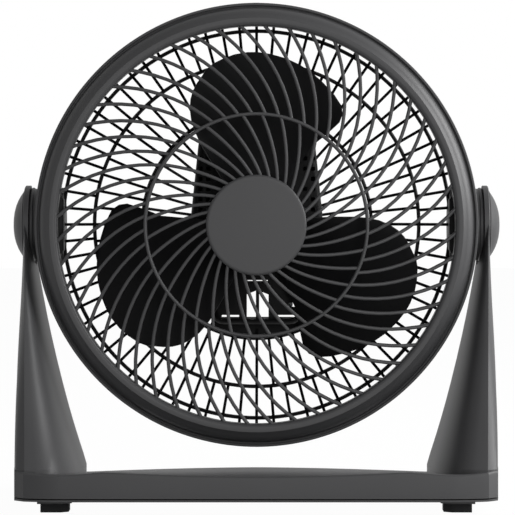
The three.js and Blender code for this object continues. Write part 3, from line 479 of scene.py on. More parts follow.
# %% Rim
RIM_FRONT = -38.0
RIM_BACK = -29.0
RIM_OUTER = 121.9
RIM_INNER = 111.1

rim_profile = (
    [(RIM_INNER, RIM_BACK), (RIM_INNER, RIM_FRONT + 3.4)]
    + arc((RIM_INNER + 2.4, RIM_FRONT + 2.4), 2.4, 190, 268, 7)
    + [(115.5, RIM_FRONT), (115.9, RIM_FRONT + 0.25)]
    + arc((113.2, RIM_FRONT + 9.2), 8.7, -64, -4, 9)
    + [(RIM_OUTER, RIM_BACK)]
    + [(RIM_OUTER - 2.2, RIM_BACK), (RIM_OUTER - 2.8, RIM_FRONT + 6.2), (115.2, RIM_FRONT + 2.6)]
    + [(RIM_INNER + 2.4, RIM_FRONT + 3.6), (RIM_INNER + 2.2, RIM_BACK)]
)
rim = turned("grille_rim", rim_profile, 240)
finish_piece(rim, "head", GRILLE_PLASTIC, ["front_grille"], smooth=24)

# %% [markdown]
# ## Hub disc
# The hub is a plain flat disc with a soft edge. Its profile starts and ends on the axis, so the spin
# closes it.

# %% Hub
HUB_RADIUS = 28.0
HUB_FRONT = -44.0
hub_profile = (
    [(0, HUB_FRONT), (HUB_RADIUS - 1.8, HUB_FRONT + 0.1)]
    + arc((HUB_RADIUS - 1.4, HUB_FRONT + 1.5), 1.4, 275, 360, 5)
    + [(HUB_RADIUS, HUB_FRONT + 6.2), (HUB_RADIUS - 2, HUB_FRONT + 6.2), (HUB_RADIUS - 2, HUB_FRONT + 2)]
    + [(0, HUB_FRONT + 2)]
)
hub = turned("grille_hub", hub_profile, 120, closed=False)
finish_piece(hub, "head", GRILLE_PLASTIC)

# %% [markdown]
# ## Middle ring
# The ribs' front isn't flat: the grille bulges a little toward the viewer. The middle ring lies on
# that surface and ties the inner ribs to the outer ones.

# %% Middle ring
RIB_FRONT_AT_RIM = RIM_FRONT + 1.7
RIB_BULGE = 6.4


def grille_front(radius):
    """Where the ribs' front lies at a radius: the grille bulges a little toward the viewer."""
    return RIB_FRONT_AT_RIM - RIB_BULGE * (1 - (radius / RIM_INNER) ** 2)


MID_RING = 61.9
ring_half = 0.93
ring_front = grille_front(MID_RING) - 0.6
ring_profile = (
    arc((MID_RING, ring_front + ring_half), ring_half, 180, 360, 6)
    + [(MID_RING + ring_half, ring_front + 6), (MID_RING - ring_half, ring_front + 6)]
)
mid_ring = turned("grille_middle_ring", ring_profile, 180)
finish_piece(mid_ring, "head", GRILLE_PLASTIC)

# %% [markdown]
# ## Swept ribs
# Each rib leaves the hub and curls round it like a spiral. One rib is made by extruding a small
# rounded section step by step and turning it to follow the curve; spin with duplicates then repeats
# it round the axis. The inner ribs follow a logarithmic spiral, the outer ones gain a fixed angle
# with each millimetre.

# %% Rib helpers
RIB_WIDTH = 1.85
RIB_DEPTH = 4.6
INNER_COUNT, INNER_START, INNER_SPIRAL = 36, -4.66, 0.48
OUTER_COUNT, OUTER_START, OUTER_SPIRAL = 52, 2.2, 0.466


def inner_rib_angle(radius):
    return math.radians(INNER_START) + INNER_SPIRAL * math.log(radius / HUB_RADIUS)


def outer_rib_angle(radius):
    return math.radians(OUTER_START + OUTER_SPIRAL * (radius - MID_RING))


def rib_path(from_radius, to_radius, steps, angle_at):
    """Places and headings along a rib, from the hub outward."""
    path = []
    for i in range(steps + 1):
        radius = from_radius + (to_radius - from_radius) * i / steps
        angle = angle_at(radius)
        heading = angle + math.atan2(radius * (angle_at(radius + 0.5) - angle), 0.5)
        x, z = radius * math.cos(angle), radius * math.sin(angle)
        path.append((at_head(x, grille_front(radius), z), heading))
    return path


def swept_rib(path):
    half, soft = RIB_WIDTH / 2, 0.42
    place, heading = path[0]
    across = Vector((-math.sin(heading), 0, math.cos(heading)))
    section = [(-half, RIB_DEPTH), (-half, soft), (-half + soft, 0)]
    section += [(-side, depth) for side, depth in reversed(section)]
    draw_outline([place + across * side * MM + FAN_AXIS * depth * MM for side, depth in section])
    for (place, heading), (next_place, next_heading) in zip(path, path[1:]):
        extrude_by(next_place - place)
        turn_by(next_heading - heading, next_place)


# %% [markdown]
# The two fields of ribs run a little into the hub and the rim, so that no gap shows, and meet on the
# middle ring.

# %% Ribs
inner_ribs = start_piece("grille_inner_ribs")
swept_rib(rib_path(HUB_RADIUS - 1.2, MID_RING, 9, inner_rib_angle))
copies_round(INNER_COUNT)
leave_edit(inner_ribs)
finish_piece(inner_ribs, "head", GRILLE_PLASTIC, smooth=50)

outer_ribs = start_piece("grille_outer_ribs")
swept_rib(rib_path(MID_RING, RIM_INNER + 1.2, 9, outer_rib_angle))
copies_round(OUTER_COUNT)
leave_edit(outer_ribs)
finish_piece(outer_ribs, "head", GRILLE_PLASTIC, smooth=50)

# %% [markdown]
# ## The drum
# Behind the rim, a short drum carries everything else of the head. Its front lip stands a little
# proud of the rim and leaves a groove, and a small tab at the top marks the latch of the grille.

# %% Drum
HEAD_RADIUS = 124.35
LIP_FRONT = -31.0
DRUM_BACK = -6.5
DRUM_RADIUS = 120.6

drum_profile = (
    arc((HEAD_RADIUS - 0.6, LIP_FRONT + 0.6), 0.6, 270, 360, 3)
    + [(HEAD_RADIUS, LIP_FRONT + 4), (DRUM_RADIUS + 1.4, LIP_FRONT + 5.2)]
    + [(DRUM_RADIUS + 0.8, LIP_FRONT + 6.4), (DRUM_RADIUS - 0.4, DRUM_BACK - 3)]
    + arc((DRUM_RADIUS - 2.4, DRUM_BACK - 2), 2, 0, 90, 4)
    + [(DRUM_RADIUS - 3.2, DRUM_BACK), (DRUM_RADIUS - 2, LIP_FRONT + 6)]
    + [(RIM_INNER + 3, LIP_FRONT + 4.5), (RIM_INNER + 3, LIP_FRONT + 2.4), (122.7, LIP_FRONT + 2.4)]
    + [(122.7, LIP_FRONT + 0.4), (123.1, LIP_FRONT)]
)
drum = turned("rear_drum", drum_profile, 240)

tab = start_piece("rear_tab")
tab_corners = [(-1.9, 123), (1.9, 123), (1.9, 124.4), (-1.9, 124.4)]
draw_outline([at_head(x, LIP_FRONT + 0.5, z) for x, z in tab_corners])
extrude_by(FAN_AXIS * 3.2 * MM)
leave_edit(tab)
round_edges(tab, 0.25)
fuse(drum, tab)
finish_piece(drum, "head", CHARCOAL, ["rear_housing"], smooth=24)

# %% [markdown]
# ## Rear grille
# The rear grille is a dish of straight ribs on three rings. Seen from the front it is nearly black.
# A rib is drawn as its side view, extruded to its width and repeated round the axis: 72 ribs between
# the drum and the second ring, and 60 between the second ring and the inner one.

# %% Rear rings
REAR_RINGS = [(110.2, -1.5), (93.2, 13.0), (66.7, 37.0)]
REAR_RING_HALF = 1.0
for number, (radius, y) in enumerate(REAR_RINGS):
    section = arc((radius, y + 1.5), REAR_RING_HALF, 0, 180, 5)
    section += arc((radius, y - 1.5), REAR_RING_HALF, 180, 360, 5)
    ring = turned(f"rear_ring_{number + 1}", section, 160)
    finish_piece(ring, "head", BLACK_PLASTIC)

# %% [markdown]
# The ribs' side view follows the dish: straight runs between the drum's edge and the rings, with
# half of the depth on each side.

# %% Rear ribs
REAR_RIB_WIDTH = 1.65
REAR_RIB_DEPTH = 5.0
DRUM_END = (119.4, -8.6)


def rear_rib(stops):
    """One rib at the head's right, from the drum inward, drawn from the side and given its width."""
    half = REAR_RIB_WIDTH / 2
    near = [at_head(radius, y - REAR_RIB_DEPTH / 2, -half) for radius, y in stops]
    far = [at_head(radius, y + REAR_RIB_DEPTH / 2, -half) for radius, y in reversed(stops)]
    draw_outline(near + far)
    extrude_by((0, 0, REAR_RIB_WIDTH * MM))


for name, stops, count in [("outer", [DRUM_END, *REAR_RINGS[:2]], 72), ("middle", REAR_RINGS[1:], 60)]:
    ribs = start_piece(f"rear_ribs_{name}")
    rear_rib(stops)
    copies_round(count)
    leave_edit(ribs)
    finish_piece(ribs, "head", BLACK_PLASTIC)

# %% [markdown]
# ## Motor housing
# The motor sits in a box of two covers on a plate in the middle of the rear grille. Its outline is
# drawn once: straight sides that narrow a little toward the top, round top corners and a tapered
# foot.

# %% Motor outline
HIP_Z, SHOULDER_Z, FOOT_Z, TOP_Z = 6.0, -20.0, -58.0, 57.0
HIP_HALF, TOP_HALF, FOOT_HALF = 38.0, 34.0, 27.0
TOP_CORNER, FOOT_CORNER = 13.0, 8.0
PLATE_FRONT, PLATE_DEPTH = 39.0, 3.0


def motor_outline(y, inset=0.0):
    corner = (TOP_HALF - TOP_CORNER, TOP_Z - TOP_CORNER)
    foot_corner = (FOOT_HALF - FOOT_CORNER, FOOT_Z + FOOT_CORNER)
    right = arc(foot_corner, FOOT_CORNER - inset, 270, 345, 4)
    right += [(HIP_HALF - inset, SHOULDER_Z), (HIP_HALF - inset, HIP_Z)]
    right += arc(corner, TOP_CORNER - inset, 5, 90, 8)
    left = [(-x, z) for x, z in reversed(right)]
    return [at_head(x, y, z) for x, z in right + left]


def motor_edge(angle):
    """How far from the axis a ray leaves the housing."""
    across, up = abs(math.cos(angle)), math.sin(angle)
    straight = HIP_HALF / across
    if up * straight > HIP_Z:
        slope = (TOP_HALF - HIP_HALF) / (TOP_Z - TOP_CORNER - HIP_Z)
        return (HIP_HALF - slope * HIP_Z) / (across - slope * up)
    if up * straight < SHOULDER_Z:
        slope = (HIP_HALF - FOOT_HALF) / (SHOULDER_Z - FOOT_Z)
        return (HIP_HALF - slope * SHOULDER_Z) / (across - slope * up)
    return straight


print("motor outline", len(motor_outline(PLATE_FRONT)), "points")

# %% [markdown]
# Ribs run from the inner ring to the plate between the covers: thirteen on each side and one below.
# Each ends where its ray leaves the housing.

# %% Ribs round the motor
motor_ribs = start_piece("rear_ribs_motor")
ring_radius, ring_y = REAR_RINGS[-1]
near_y, far_y = PLATE_FRONT + 0.4, PLATE_FRONT + PLATE_DEPTH - 0.4
half = REAR_RIB_WIDTH / 2
angles = [math.radians(8 * i) for i in range(-6, 7)]
angles += [math.pi - angle for angle in angles]
for angle in angles + [math.radians(270)]:
    edge = -FOOT_Z if angle > math.radians(250) else motor_edge(angle)
    side_view = [(ring_radius, ring_y - 2), (edge + 1, near_y), (edge - 2, near_y)]
    side_view += [(edge - 2, far_y), (edge + 1, far_y), (ring_radius, ring_y + 2)]
    draw_outline([at_head(radius, y, -half) for radius, y in side_view])
    extrude_by((0, 0, REAR_RIB_WIDTH * MM))
    bpy.ops.mesh.select_linked()
    turn_by(angle, HEAD_CENTRE)
leave_edit(motor_ribs)
finish_piece(motor_ribs, "head", BLACK_PLASTIC)

# %% [markdown]
# Below the motor a thin web closes the gap to the inner ring. At both ends of the tilt axis a flat
# pad inside the drum backs the pivot. Each is an outline, extruded along the fan's axis.

# %% Web and pads
web = start_piece("motor_web")
web_corners = [(-26, -56), *arc((0, 0), 66.4, 245, 295, 12), (26, -56)]
draw_outline([at_head(x, 38.2, z) for x, z in web_corners])
extrude_by(FAN_AXIS * 1.4 * MM)
leave_edit(web)
finish_piece(web, "head", BLACK_PLASTIC)

for side, name in ((-1, "left"), (1, "right")):
    pad = start_piece(f"pivot_pad_{name}")
    corners = [(117.2, -22), (112.6, -21.4), (108.6, -14), (108.6, 14), (112.6, 21.4), (117.2, 22)]
    draw_outline([at_head(side * x, -24, z) for x, z in corners])
    extrude_by(FAN_AXIS * 14 * MM)
    leave_edit(pad)
    round_edges(pad, 0.6)
    finish_piece(pad, "head", BLACK_PLASTIC)

# %% [markdown]
# The plate between the covers is a thin frame. Two outlines are bridged into a flat ring, which is
# extruded to its depth.

# %% Motor plate
plate = start_piece("motor_plate")
bridge_rows([motor_outline(PLATE_FRONT), motor_outline(PLATE_FRONT, 2.8)])
bpy.ops.mesh.select_all(action="SELECT")
extrude_by(FAN_AXIS * PLATE_DEPTH * MM)
leave_edit(plate)
round_edges(plate, 0.3)
finish_piece(plate, "head", BLACK_PLASTIC)

# %% [markdown]
# ## Covers
# A cover is the outline extruded, its closed edge bevelled round, its open side removed and the
# skin given a wall with Solidify. Windows and vents are prisms that a Boolean takes away, because
# they pass straight through, as the steel pins of the mould do.

# %% Cover helpers
COVER_ROUND = 5.0
COVER_WALL = 2.2


def cover_shell(name, open_y, closed_y):
    piece = start_piece(name)
    draw_outline(motor_outline(open_y))
    extrude_by(FAN_AXIS * (closed_y - open_y) * MM)
    select_where(lambda co: abs(co.y - closed_y * MM) < CLOSE)
    bpy.ops.mesh.bevel(offset=COVER_ROUND * MM, segments=5, affect="EDGES")
    close_mesh()
    select_where(lambda co: abs(co.y - open_y * MM) < CLOSE)
    bpy.ops.mesh.delete(type="ONLY_FACE")
    bpy.ops.object.mode_set(mode="OBJECT")
    add_modifier(piece, "SOLIDIFY", thickness=COVER_WALL * MM, offset=-1, use_even_offset=True)
    return piece


def add_hole(corners, closed_y):
    """A straight prism through a cover's closed face."""
    draw_outline([at_head(x, closed_y - 9, z) for x, z in corners])
    extrude_by(FAN_AXIS * 18 * MM)


def box_hole(x, z, width, height, closed_y):
    left, right, low, high = x - width / 2, x + width / 2, z - height / 2, z + height / 2
    add_hole([(left, low), (right, low), (right, high), (left, high)], closed_y)


def round_hole(x, z, radius, closed_y):
    add_hole(arc((x, z), radius, 0, 345, 23), closed_y)


def foot_windows(closed_y):
    """Two tall windows with sloping tops, two low slots, a slit above and a small window at the right."""
    for side in (-1, 1):
        near, far = 0.4 + side * 0.9, 0.4 + side * 6.4
        add_hole([(near, -55), (far, -55), (far, -40.6), (near, -38.4)], closed_y)
        box_hole(0.85 + side * 16.35, -53.7, 10.6, 2.6, closed_y)
    box_hole(0.4, -33, 12, 1.5, closed_y)
    box_hole(20.6, -47.1, 4.3, 3.8, closed_y)


# %% [markdown]
# The front cover faces the blades. Small square vents stand in two columns on each side, and the
# shaft comes out of the hole in the middle.

# %% Front cover
FRONT_COVER_Y = 20
front_cover = cover_shell("motor_front_shell", 38.7, FRONT_COVER_Y)
cutter = start_piece("front_cutter")
foot_windows(FRONT_COVER_Y)
for side in (-1, 1):
    for column in (28, 32.5):
        for row in range(7):
            box_hole(side * column, 2.6 + 5.9 * row, 2.4, 2.4, FRONT_COVER_Y)
round_hole(0, 0, 5, FRONT_COVER_Y)
leave_edit(cutter)
cut_away(front_cover, cutter)
finish_piece(front_cover, "head", BLACK_PLASTIC, ["motor_front_cover"])

# %% [markdown]
# The rear cover carries the knob and a dial of four numbers. Six tall louvres above the knob let the
# motor breathe.

# %% Rear cover
REAR_COVER_Y = 60
INLET_X, INLET_Z = -16, -32
rear_cover = cover_shell("motor_rear_shell", 42.3, REAR_COVER_Y)
cutter = start_piece("rear_cutter")
foot_windows(REAR_COVER_Y)
for column in range(6):
    box_hole((column - 2.5) * 5, 34.5, 2.6, 21, REAR_COVER_Y)
round_hole(INLET_X, INLET_Z, 5.3, REAR_COVER_Y)
round_hole(0, 0, 5, REAR_COVER_Y)
leave_edit(cutter)
cut_away(rear_cover, cutter)
finish_piece(rear_cover, "head", CHARCOAL, ["motor_rear_cover"])

# %% [markdown]
# ## Dial numbers
# The numbers 0 to 3 stand round the knob. A text object is extruded a little, turned to be read from
# behind, made a mesh, and sunk half into the cover.

# %% Dial
DIAL_RADIUS = 20.6
for number in range(4):
    angle = math.radians(45 * number)
    x, z = -DIAL_RADIUS * math.sin(angle), DIAL_RADIUS * math.cos(angle)
    bpy.ops.object.select_all(action="DESELECT")
    bpy.ops.object.text_add(location=at_head(x, REAR_COVER_Y + 0.05, z))
    numeral = bpy.context.object
    numeral.name = f"dial_{number}"
    numeral.data.body = str(number)
    numeral.data.size = 5 * MM
    numeral.data.extrude = 0.2 * MM
    numeral.data.align_x = "CENTER"
    numeral.data.align_y = "CENTER"
    numeral.rotation_euler = (math.radians(90), 0, math.radians(180))
    bpy.ops.object.convert(target="MESH")
    finish_piece(bpy.context.object, "head", DIAL_PAINT)

# %% [markdown]
# ## Knob
# The knob is turned, with a soft edge, and a grip bar stands across it. A painted mark on the bar
# points at the numbers.

# %% Knob
knob_profile = [(0, 60.3), (17, 60.3), (17, 61.2), (16.5, 64.6)]
knob_profile += arc((15.4, 65.2), 1, 5, 90, 4) + [(0, 66.2)]
speed_knob = turned("speed_knob_body", knob_profile, 72, closed=False)
grip = start_piece("knob_grip")
draw_outline([at_head(x, 61.3, z) for x, z in [(-3, -14.6), (3, -14.6), (3, 14.6), (-3, 14.6)]])
extrude_by(FAN_AXIS * 11 * MM)
select_where(lambda co: co.y > 70 * MM)
bpy.ops.transform.resize(value=(0.7, 1, 0.96), center_override=at_head(0, 72.3, 0))
leave_edit(grip)
round_edges(grip, 0.8, segments=3)
fuse(speed_knob, grip)
finish_piece(speed_knob, "knob", CHARCOAL, ["speed_knob"])

mark = start_piece("knob_mark")
draw_outline([at_head(x, 71.2, z) for x, z in [(-0.5, 6), (0.5, 6), (0.5, 13), (-0.5, 13)]])
extrude_by(FAN_AXIS * 1.2 * MM)
leave_edit(mark)
round_edges(mark, 0.1)
finish_piece(mark, "knob", DIAL_PAINT)

# %% [markdown]
# ## Cord inlet
# The inlet is a plain rubber bush in the rear cover, turned round its own middle.

# %% Cord inlet
inlet_profile = [(2.8, 56.8), (5, 56.8), (5, 60.3), (7.5, 60.3)]
inlet_profile += arc((6.3, 61.3), 1.2, 0, 90, 4) + [(3.4, 62.5), (2.8, 61.9)]
inlet = turned("inlet_bush", inlet_profile, 48, x=INLET_X, z=INLET_Z)
finish_piece(inlet, "head", RUBBER, ["cord_inlet"])

# %% [markdown]
# ## Screws
# A screw is a turned pan head on a plain shank, with a cross cut into it. Each size is made once at
# the origin, and each copy is moved to its place and gets a mesh of its own.

# %% Screw helpers
def pan_screw(name, radius, reach):
    """A screw along +Y with its seat at the origin."""
    piece = start_piece(name)
    profile = [(0, -reach), (radius, -reach + 0.6), (radius, 0), (3.2, 0), (3.0, 0.9), (2.1, 1.5), (0, 1.7)]
    draw_line([Vector((r * MM, y * MM, 0)) for r, y in profile])
    spin_round(24, centre=Vector((0, 0, 0)))
    leave_edit(piece)
    cross = start_piece("cross")
    for wide, tall in [(3.4, 0.7), (0.7, 3.4)]:
        corners = [(-wide, -tall), (wide, -tall), (wide, tall), (-wide, tall)]
        draw_outline([Vector((x / 2 * MM, 0.8 * MM, z / 2 * MM)) for x, z in corners])
        extrude_by((0, 2 * MM, 0))
    leave_edit(cross)
    add_modifier(piece, "BOOLEAN", operation="DIFFERENCE", solver="EXACT", object=cross, use_self=True)
    bpy.data.objects.remove(cross)
    return piece


def middle_of(node):
    """The middle of a node's box."""
    low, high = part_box(node)
    return (low + high) / 2


def place_screws(kind, radius, reach, seat, turn, body):
    """Four screws of one size at the middles of their nodes, each moved along one axis to its seat."""
    master = pan_screw("screw_master", radius, reach)
    axis, level = seat
    for number in range(4):
        node = f"{kind}_screw_{number + 1}"
        copy = master.copy()
        copy.data = master.data.copy()
        copy.name = copy.data.name = f"{node}_steel"
        bpy.context.scene.collection.objects.link(copy)
        copy.rotation_euler = turn
        place = middle_of(node)
        place[axis] = level * MM
        copy.location = place
        finish_piece(copy, body, STEEL, [node])
    bpy.data.objects.remove(master)


# %% [markdown]
# Four long screws hold the motor's covers together. Their places come from the solids' boxes.

# %% Cover screws
place_screws("cover", 1.5, 26, (1, REAR_COVER_Y + 0.3), (0, 0, 0), "head")

# %% [markdown]
# ## Fan blades
# Three broad blades curve out of a cup-shaped hub. A blade is skinned over rows from the hub to the
# tip. A row of the list is its radius, and the angles of its right and its left edge.

# %% Blade outline
BLADE_MIDDLE = 88.5
BLADE_HALF_SPAN = 36.0
BLADE_ROWS = [
    (26.0, 56.1, 125.2), (32.8, 55.7, 126.5), (45.0, 55.6, 125.5), (55.1, 55.4, 124.5),
    (62.6, 53.2, 123.4), (69.0, 52.0, 122.0), (75.4, 51.2, 119.8), (80.0, 52.2, 117.6),
    (83.6, 54.5, 115.3), (86.7, 59.5, 112.7), (89.5, 65.0, 110.0), (92.1, 70.0, 108.0),
    (94.3, 75.0, 105.0), (96.0, 80.0, 101.0), (97.2, 85.5, 97.3), (97.8, 90.0, 93.0),
]


def blade_point(radius, degrees):
    """A point of the blade's middle surface: it is pitched and a little cambered."""
    along = (degrees - BLADE_MIDDLE) / BLADE_HALF_SPAN
    y = -5 - 17 * along - 4 * (1 - along * along)
    angle = math.radians(degrees)
    return at_head(radius * math.cos(angle), y, radius * math.sin(angle))


# %% [markdown]
# The skin of one blade is repeated round the axis, and Solidify gives all three their thickness. The
# hub is a cup, open to the rear, with a tube for the shaft in its middle.

# %% Blades and hub
BLADE_STEPS = 14


def blade_row(radius, right, left):
    degrees = [right + (left - right) * i / BLADE_STEPS for i in range(BLADE_STEPS + 1)]
    return [blade_point(radius, degree) for degree in degrees]


blades = start_piece("fan_blades")
bridge_rows([blade_row(*row) for row in BLADE_ROWS], closed=False)
copies_round(3)
leave_edit(blades)
add_modifier(blades, "SOLIDIFY", thickness=2.0 * MM, offset=0, use_even_offset=False)
round_edges(blades, 0.6, segments=2, angle=60)
finish_piece(blades, "rotor", BLADE_PLASTIC, ["fan_blade"], smooth=50)

fan_hub_profile = [(3.3, -25), (22, -25)] + arc((23, -21), 4, 270, 360, 6) + [(27, 15), (24.8, 15)]
fan_hub_profile += [(24.8, -20), (22, -22.8), (7, -22.8), (7, 11), (3.3, 11)]
fan_hub = turned("fan_hub", fan_hub_profile, 96)
finish_piece(fan_hub, "rotor", BLADE_PLASTIC)

# %% [markdown]
# ## Stand
# The stand is moulded in one piece: a U of a crossbar and two legs, and an arm on each side. Its
# plan is two matching edges, an outer and an inner one, so that a strip between them can close it.

# %% Stand plan
SIDE_X, SIDE_RADIUS, HALF_DEPTH = 135.6, 700.0, 80.0
FRONT_FLAT, FRONT_RADIUS, STRIP_Y = 105.6, 59.0, -69.5
LEG_INNER_X, LEG_TAPER, BAR_BACK = 98.2, 0.05, -20.0
INNER_CORNER, END_CORNER = 5.0, 8.0
SHELL_BOTTOM, BAR_TOP = 9.4, 21.4


def side_x(y):
    """The stand's side is a very shallow arc."""
    return SIDE_X - y * y / (2 * SIDE_RADIUS)


def stand_plan():
    """Matching points of the outer and the inner edge, from the right leg's end to the left one's."""
    end_y = HALF_DEPTH - END_CORNER
    outer = arc((side_x(end_y) - END_CORNER, end_y), END_CORNER, 90, 6, 6)
    outer += [(side_x(y), y) for y in (66 - 13.2 * i for i in range(11))] + [(side_x(STRIP_Y), STRIP_Y)]
    outer += arc((FRONT_FLAT, FRONT_RADIUS - HALF_DEPTH), FRONT_RADIUS, -69, -90, 13)
    inner_middle = (LEG_INNER_X - INNER_CORNER, BAR_BACK + INNER_CORNER)
    runs = [87 - 7.25 * i for i in range(12)]
    leg = [(LEG_INNER_X + LEG_TAPER * run, inner_middle[1] + run) for run in runs]
    inner = arc((leg[0][0] + END_CORNER, end_y), END_CORNER, 90, 180, 6) + leg[1:]
    inner += arc(inner_middle, INNER_CORNER, 0, -90, 14)
    right = list(zip(outer, inner))
    for share in (i / 10 for i in range(9, -1, -1)):
        x = share * inner_middle[0]
        right.append(((x, -HALF_DEPTH), (x, BAR_BACK)))
    left = [((-a[0], a[1]), (-b[0], b[1])) for a, b in reversed(right[:-1])]
    return right + left


print("stand plan", len(stand_plan()), "pairs of points")

# %% [markdown]
# The stand's top isn't level. Each point of its two edges gets a height of its own.

# %% Height of the stand's edges
SIDE_TOP, REAR_FALL, LEG_FALL = 24.1, 9.0, 4.0
BAR_HALF, CORNER_SPAN, CORNER_DIP = 82, 50, 1.8


def outer_top(x, y):
    """The front edge rises toward the arms, dips under them, and the sides fall to the rear."""
    if y > STRIP_Y:
        return SIDE_TOP - REAR_FALL * ((y - STRIP_Y) / (HALF_DEPTH - STRIP_Y)) ** 2
    if abs(x) < BAR_HALF:
        return BAR_TOP + (SIDE_TOP - BAR_TOP) * (x / BAR_HALF) ** 2
    return SIDE_TOP - CORNER_DIP * math.sin(math.pi * (abs(x) - BAR_HALF) / CORNER_SPAN)


def inner_top(x, y):
    """The bar's back edge falls a little toward the legs, and the legs' inner edge on to the rear."""
    bar = BAR_TOP - 2.4 * (min(abs(x), 100) / 94) ** 1.6
    return bar - LEG_FALL * max(0, y - BAR_BACK) / (HALF_DEPTH - BAR_BACK)


# %% [markdown]
# The walls are skinned over rows of the plan. The upper rows grow smaller for a rounded edge, except
# on the long sides, where the arms carry on upward. Strips close the bottom and the top.

# %% Rows and skin
def on_side(x, y):
    """True on the stand's long sides, where the arms carry on upward."""
    return abs(x) > side_x(y) - 0.5 and y > STRIP_Y - 0.5


def plan_row(inset, outer_height, inner_height):
    """The plan a little smaller, except on the long sides, with each point at its own height."""
    outer, inner = (list(edge) for edge in zip(*stand_plan()))
    around = outer + inner[::-1]
    row = []
    for i, (x, y) in enumerate(around):
        along = (Vector(around[(i + 1) % len(around)]) - Vector(around[i - 1])).normalized()
        step = 0 if on_side(x, y) else inset
        height = outer_height(x, y) if i < len(outer) else inner_height(x, y)
        row.append(on_floor(x + along.y * step, y - along.x * step, height))
    return row


def skin_on_plan(name, rows):
    """Skins the walls over closed rows, and closes the first and the last row as strips."""
    piece = start_piece(name)
    bridge_rows(rows)
    half = len(rows[0]) // 2
    for row in (rows[0], rows[-1]):
        bridge_rows([row[:half], row[half:][::-1]], closed=False)
    return leave_edit(piece)


# %% [markdown]
# The crossbar and the legs are one skin: a row at the bottom and four round the upper edge.

# %% Crossbar and legs
EDGE_ROUND = 1.5


def shell_row(angle):
    """A row on the rounded top edge, from the wall at 0 degrees to the top at 90."""
    inset = EDGE_ROUND * (1 - math.cos(math.radians(angle)))
    drop = EDGE_ROUND * (1 - math.sin(math.radians(angle)))
    return plan_row(inset, lambda x, y: outer_top(x, y) - drop, lambda x, y: inner_top(x, y) - drop)


bottom_row = plan_row(0, lambda x, y: SHELL_BOTTOM, lambda x, y: SHELL_BOTTOM)
stand = skin_on_plan("stand_shell", [bottom_row] + [shell_row(angle) for angle in (0, 30, 60, 90)])

# %% [markdown]
# An arm is skinned over outlines at many heights. Outside it keeps to the side of the foot and then
# turns in along a narrow strip, inside it is a deep, full arc, and the two meet at creases. Low down
# it meets the crossbar with a small fillet, and at the top it ends in a disc round the tilt axis.

# %% Arm outline
ARM_INNER_TOP, ARM_OUTER_TOP, DISC_RADIUS = 128.7, 131.5, 22.2
ARM_SPREAD, ARM_TOE, ARM_BULGE, ARM_LEAN = 44, 7.5, 3.95, 28.7
CREASE_X, CREASE_SLOPE = 132.6, 0.085
PIVOT_Z = AXIS_HEIGHT / MM
ARM_FOOT_Z, FILLET_Z, FILLET = 24.7, 18.6, 2.4
ARM_SHARES = (0.3, 0.68, 0.83, 0.91, 0.95, 0.98)
ARM_STEPS = 28


def arm_outline(z, side):
    """The arm's outline at a height, from the front crease round the outside and back inside."""
    drop = min(1, (PIVOT_Z - z) / (PIVOT_Z - ARM_FOOT_Z))
    above = min(FILLET, max(0.0, z - FILLET_Z))
    flare = FILLET - math.sqrt(FILLET ** 2 - (FILLET - above) ** 2)
    half = DISC_RADIUS + ARM_SPREAD * drop + ARM_TOE * max(0, 4 * drop - 3) ** 2
    crease_x = CREASE_X - CREASE_SLOPE * half
    bulge_x = ARM_OUTER_TOP + ARM_BULGE * drop ** 0.75
    inner_x = ARM_INNER_TOP - ARM_LEAN * (0.6 * drop + 0.4 * drop * drop)
    inner_x -= 0.3 * max(0, ARM_FOOT_Z - max(z, FILLET_Z))

    def outside(share):
        level = bulge_x - drop * (share * half) ** 2 / (2 * SIDE_RADIUS)
        edge = bulge_x - drop * half ** 2 / (2 * SIDE_RADIUS)
        return level - (edge - crease_x) * abs(share) ** (3 + 37 * drop ** 3), share * half

    points = [outside(share) for share in (-1, *(-s for s in reversed(ARM_SHARES)), *ARM_SHARES)]
    fullness = 2 / (2 + drop)
    for i in range(ARM_STEPS):
        angle = math.pi * i / ARM_STEPS
        across = math.sin(angle) ** fullness
        along = math.copysign(abs(math.cos(angle)) ** fullness, math.cos(angle))
        spread = flare * min(1, max(0, -4 * along))
        x = crease_x - (crease_x - inner_x + spread) * across
        points.append((x, (half + spread * across) * along))
    return [on_floor(side * x, y, z) for x, y in points]


# %% [markdown]
# The outlines lie closer together near the top and the foot, where the arm curves most. A turned
# disc is fused to the top, and two turned rooms are cut away, for the head's boss and for the cap.

# %% Arms
def arm(side):
    piece = start_piece("arm")
    drops = [0, 0.04, 0.09, 0.15, 0.22, 0.3, 0.39, 0.48, 0.58, 0.68, 0.75, 0.8, 0.85, 0.9, 0.95, 1]
    heights = [PIVOT_Z - drop * (PIVOT_Z - ARM_FOOT_Z) for drop in drops]
    heights += [FILLET_Z + FILLET * share for share in (1, 0.6, 0.35, 0.17, 0.05, 0)] + [11]
    bridge_rows([arm_outline(z, side) for z in heights], capped=True)
    return leave_edit(piece)


def disc_profile(radius, near, far, soft):
    return [(0, near), (radius, near), (radius, far - soft), (radius - soft, far), (0, far)]


for side in (-1, 1):
    flange = turned_pivot("flange", disc_profile(DISC_RADIUS, 128.6, 131.7, 0.5), 72, side)
    boss_room = turned_pivot("boss_room", disc_profile(23, 109.5, 128.6, 0.1), 72, side)
    cap_room = turned_pivot("cap_room", disc_profile(19.8, 131.75, 145, 0.1), 72, side)
    upright = arm(side)
    fuse(upright, flange)
    cut_away(upright, boss_room, cap_room)
    tidy_skin(upright)
    fuse(stand, upright)
finish_piece(stand, "stand", CHARCOAL, ["stand_frame"], smooth=24)

# %% [markdown]
# ## Base plate and feet
# A thin plate closes the underside, a hair below the shell, so that a dark seam shows. Rubber feet
# sit in collars under it, and each has its inner front corner cut back.

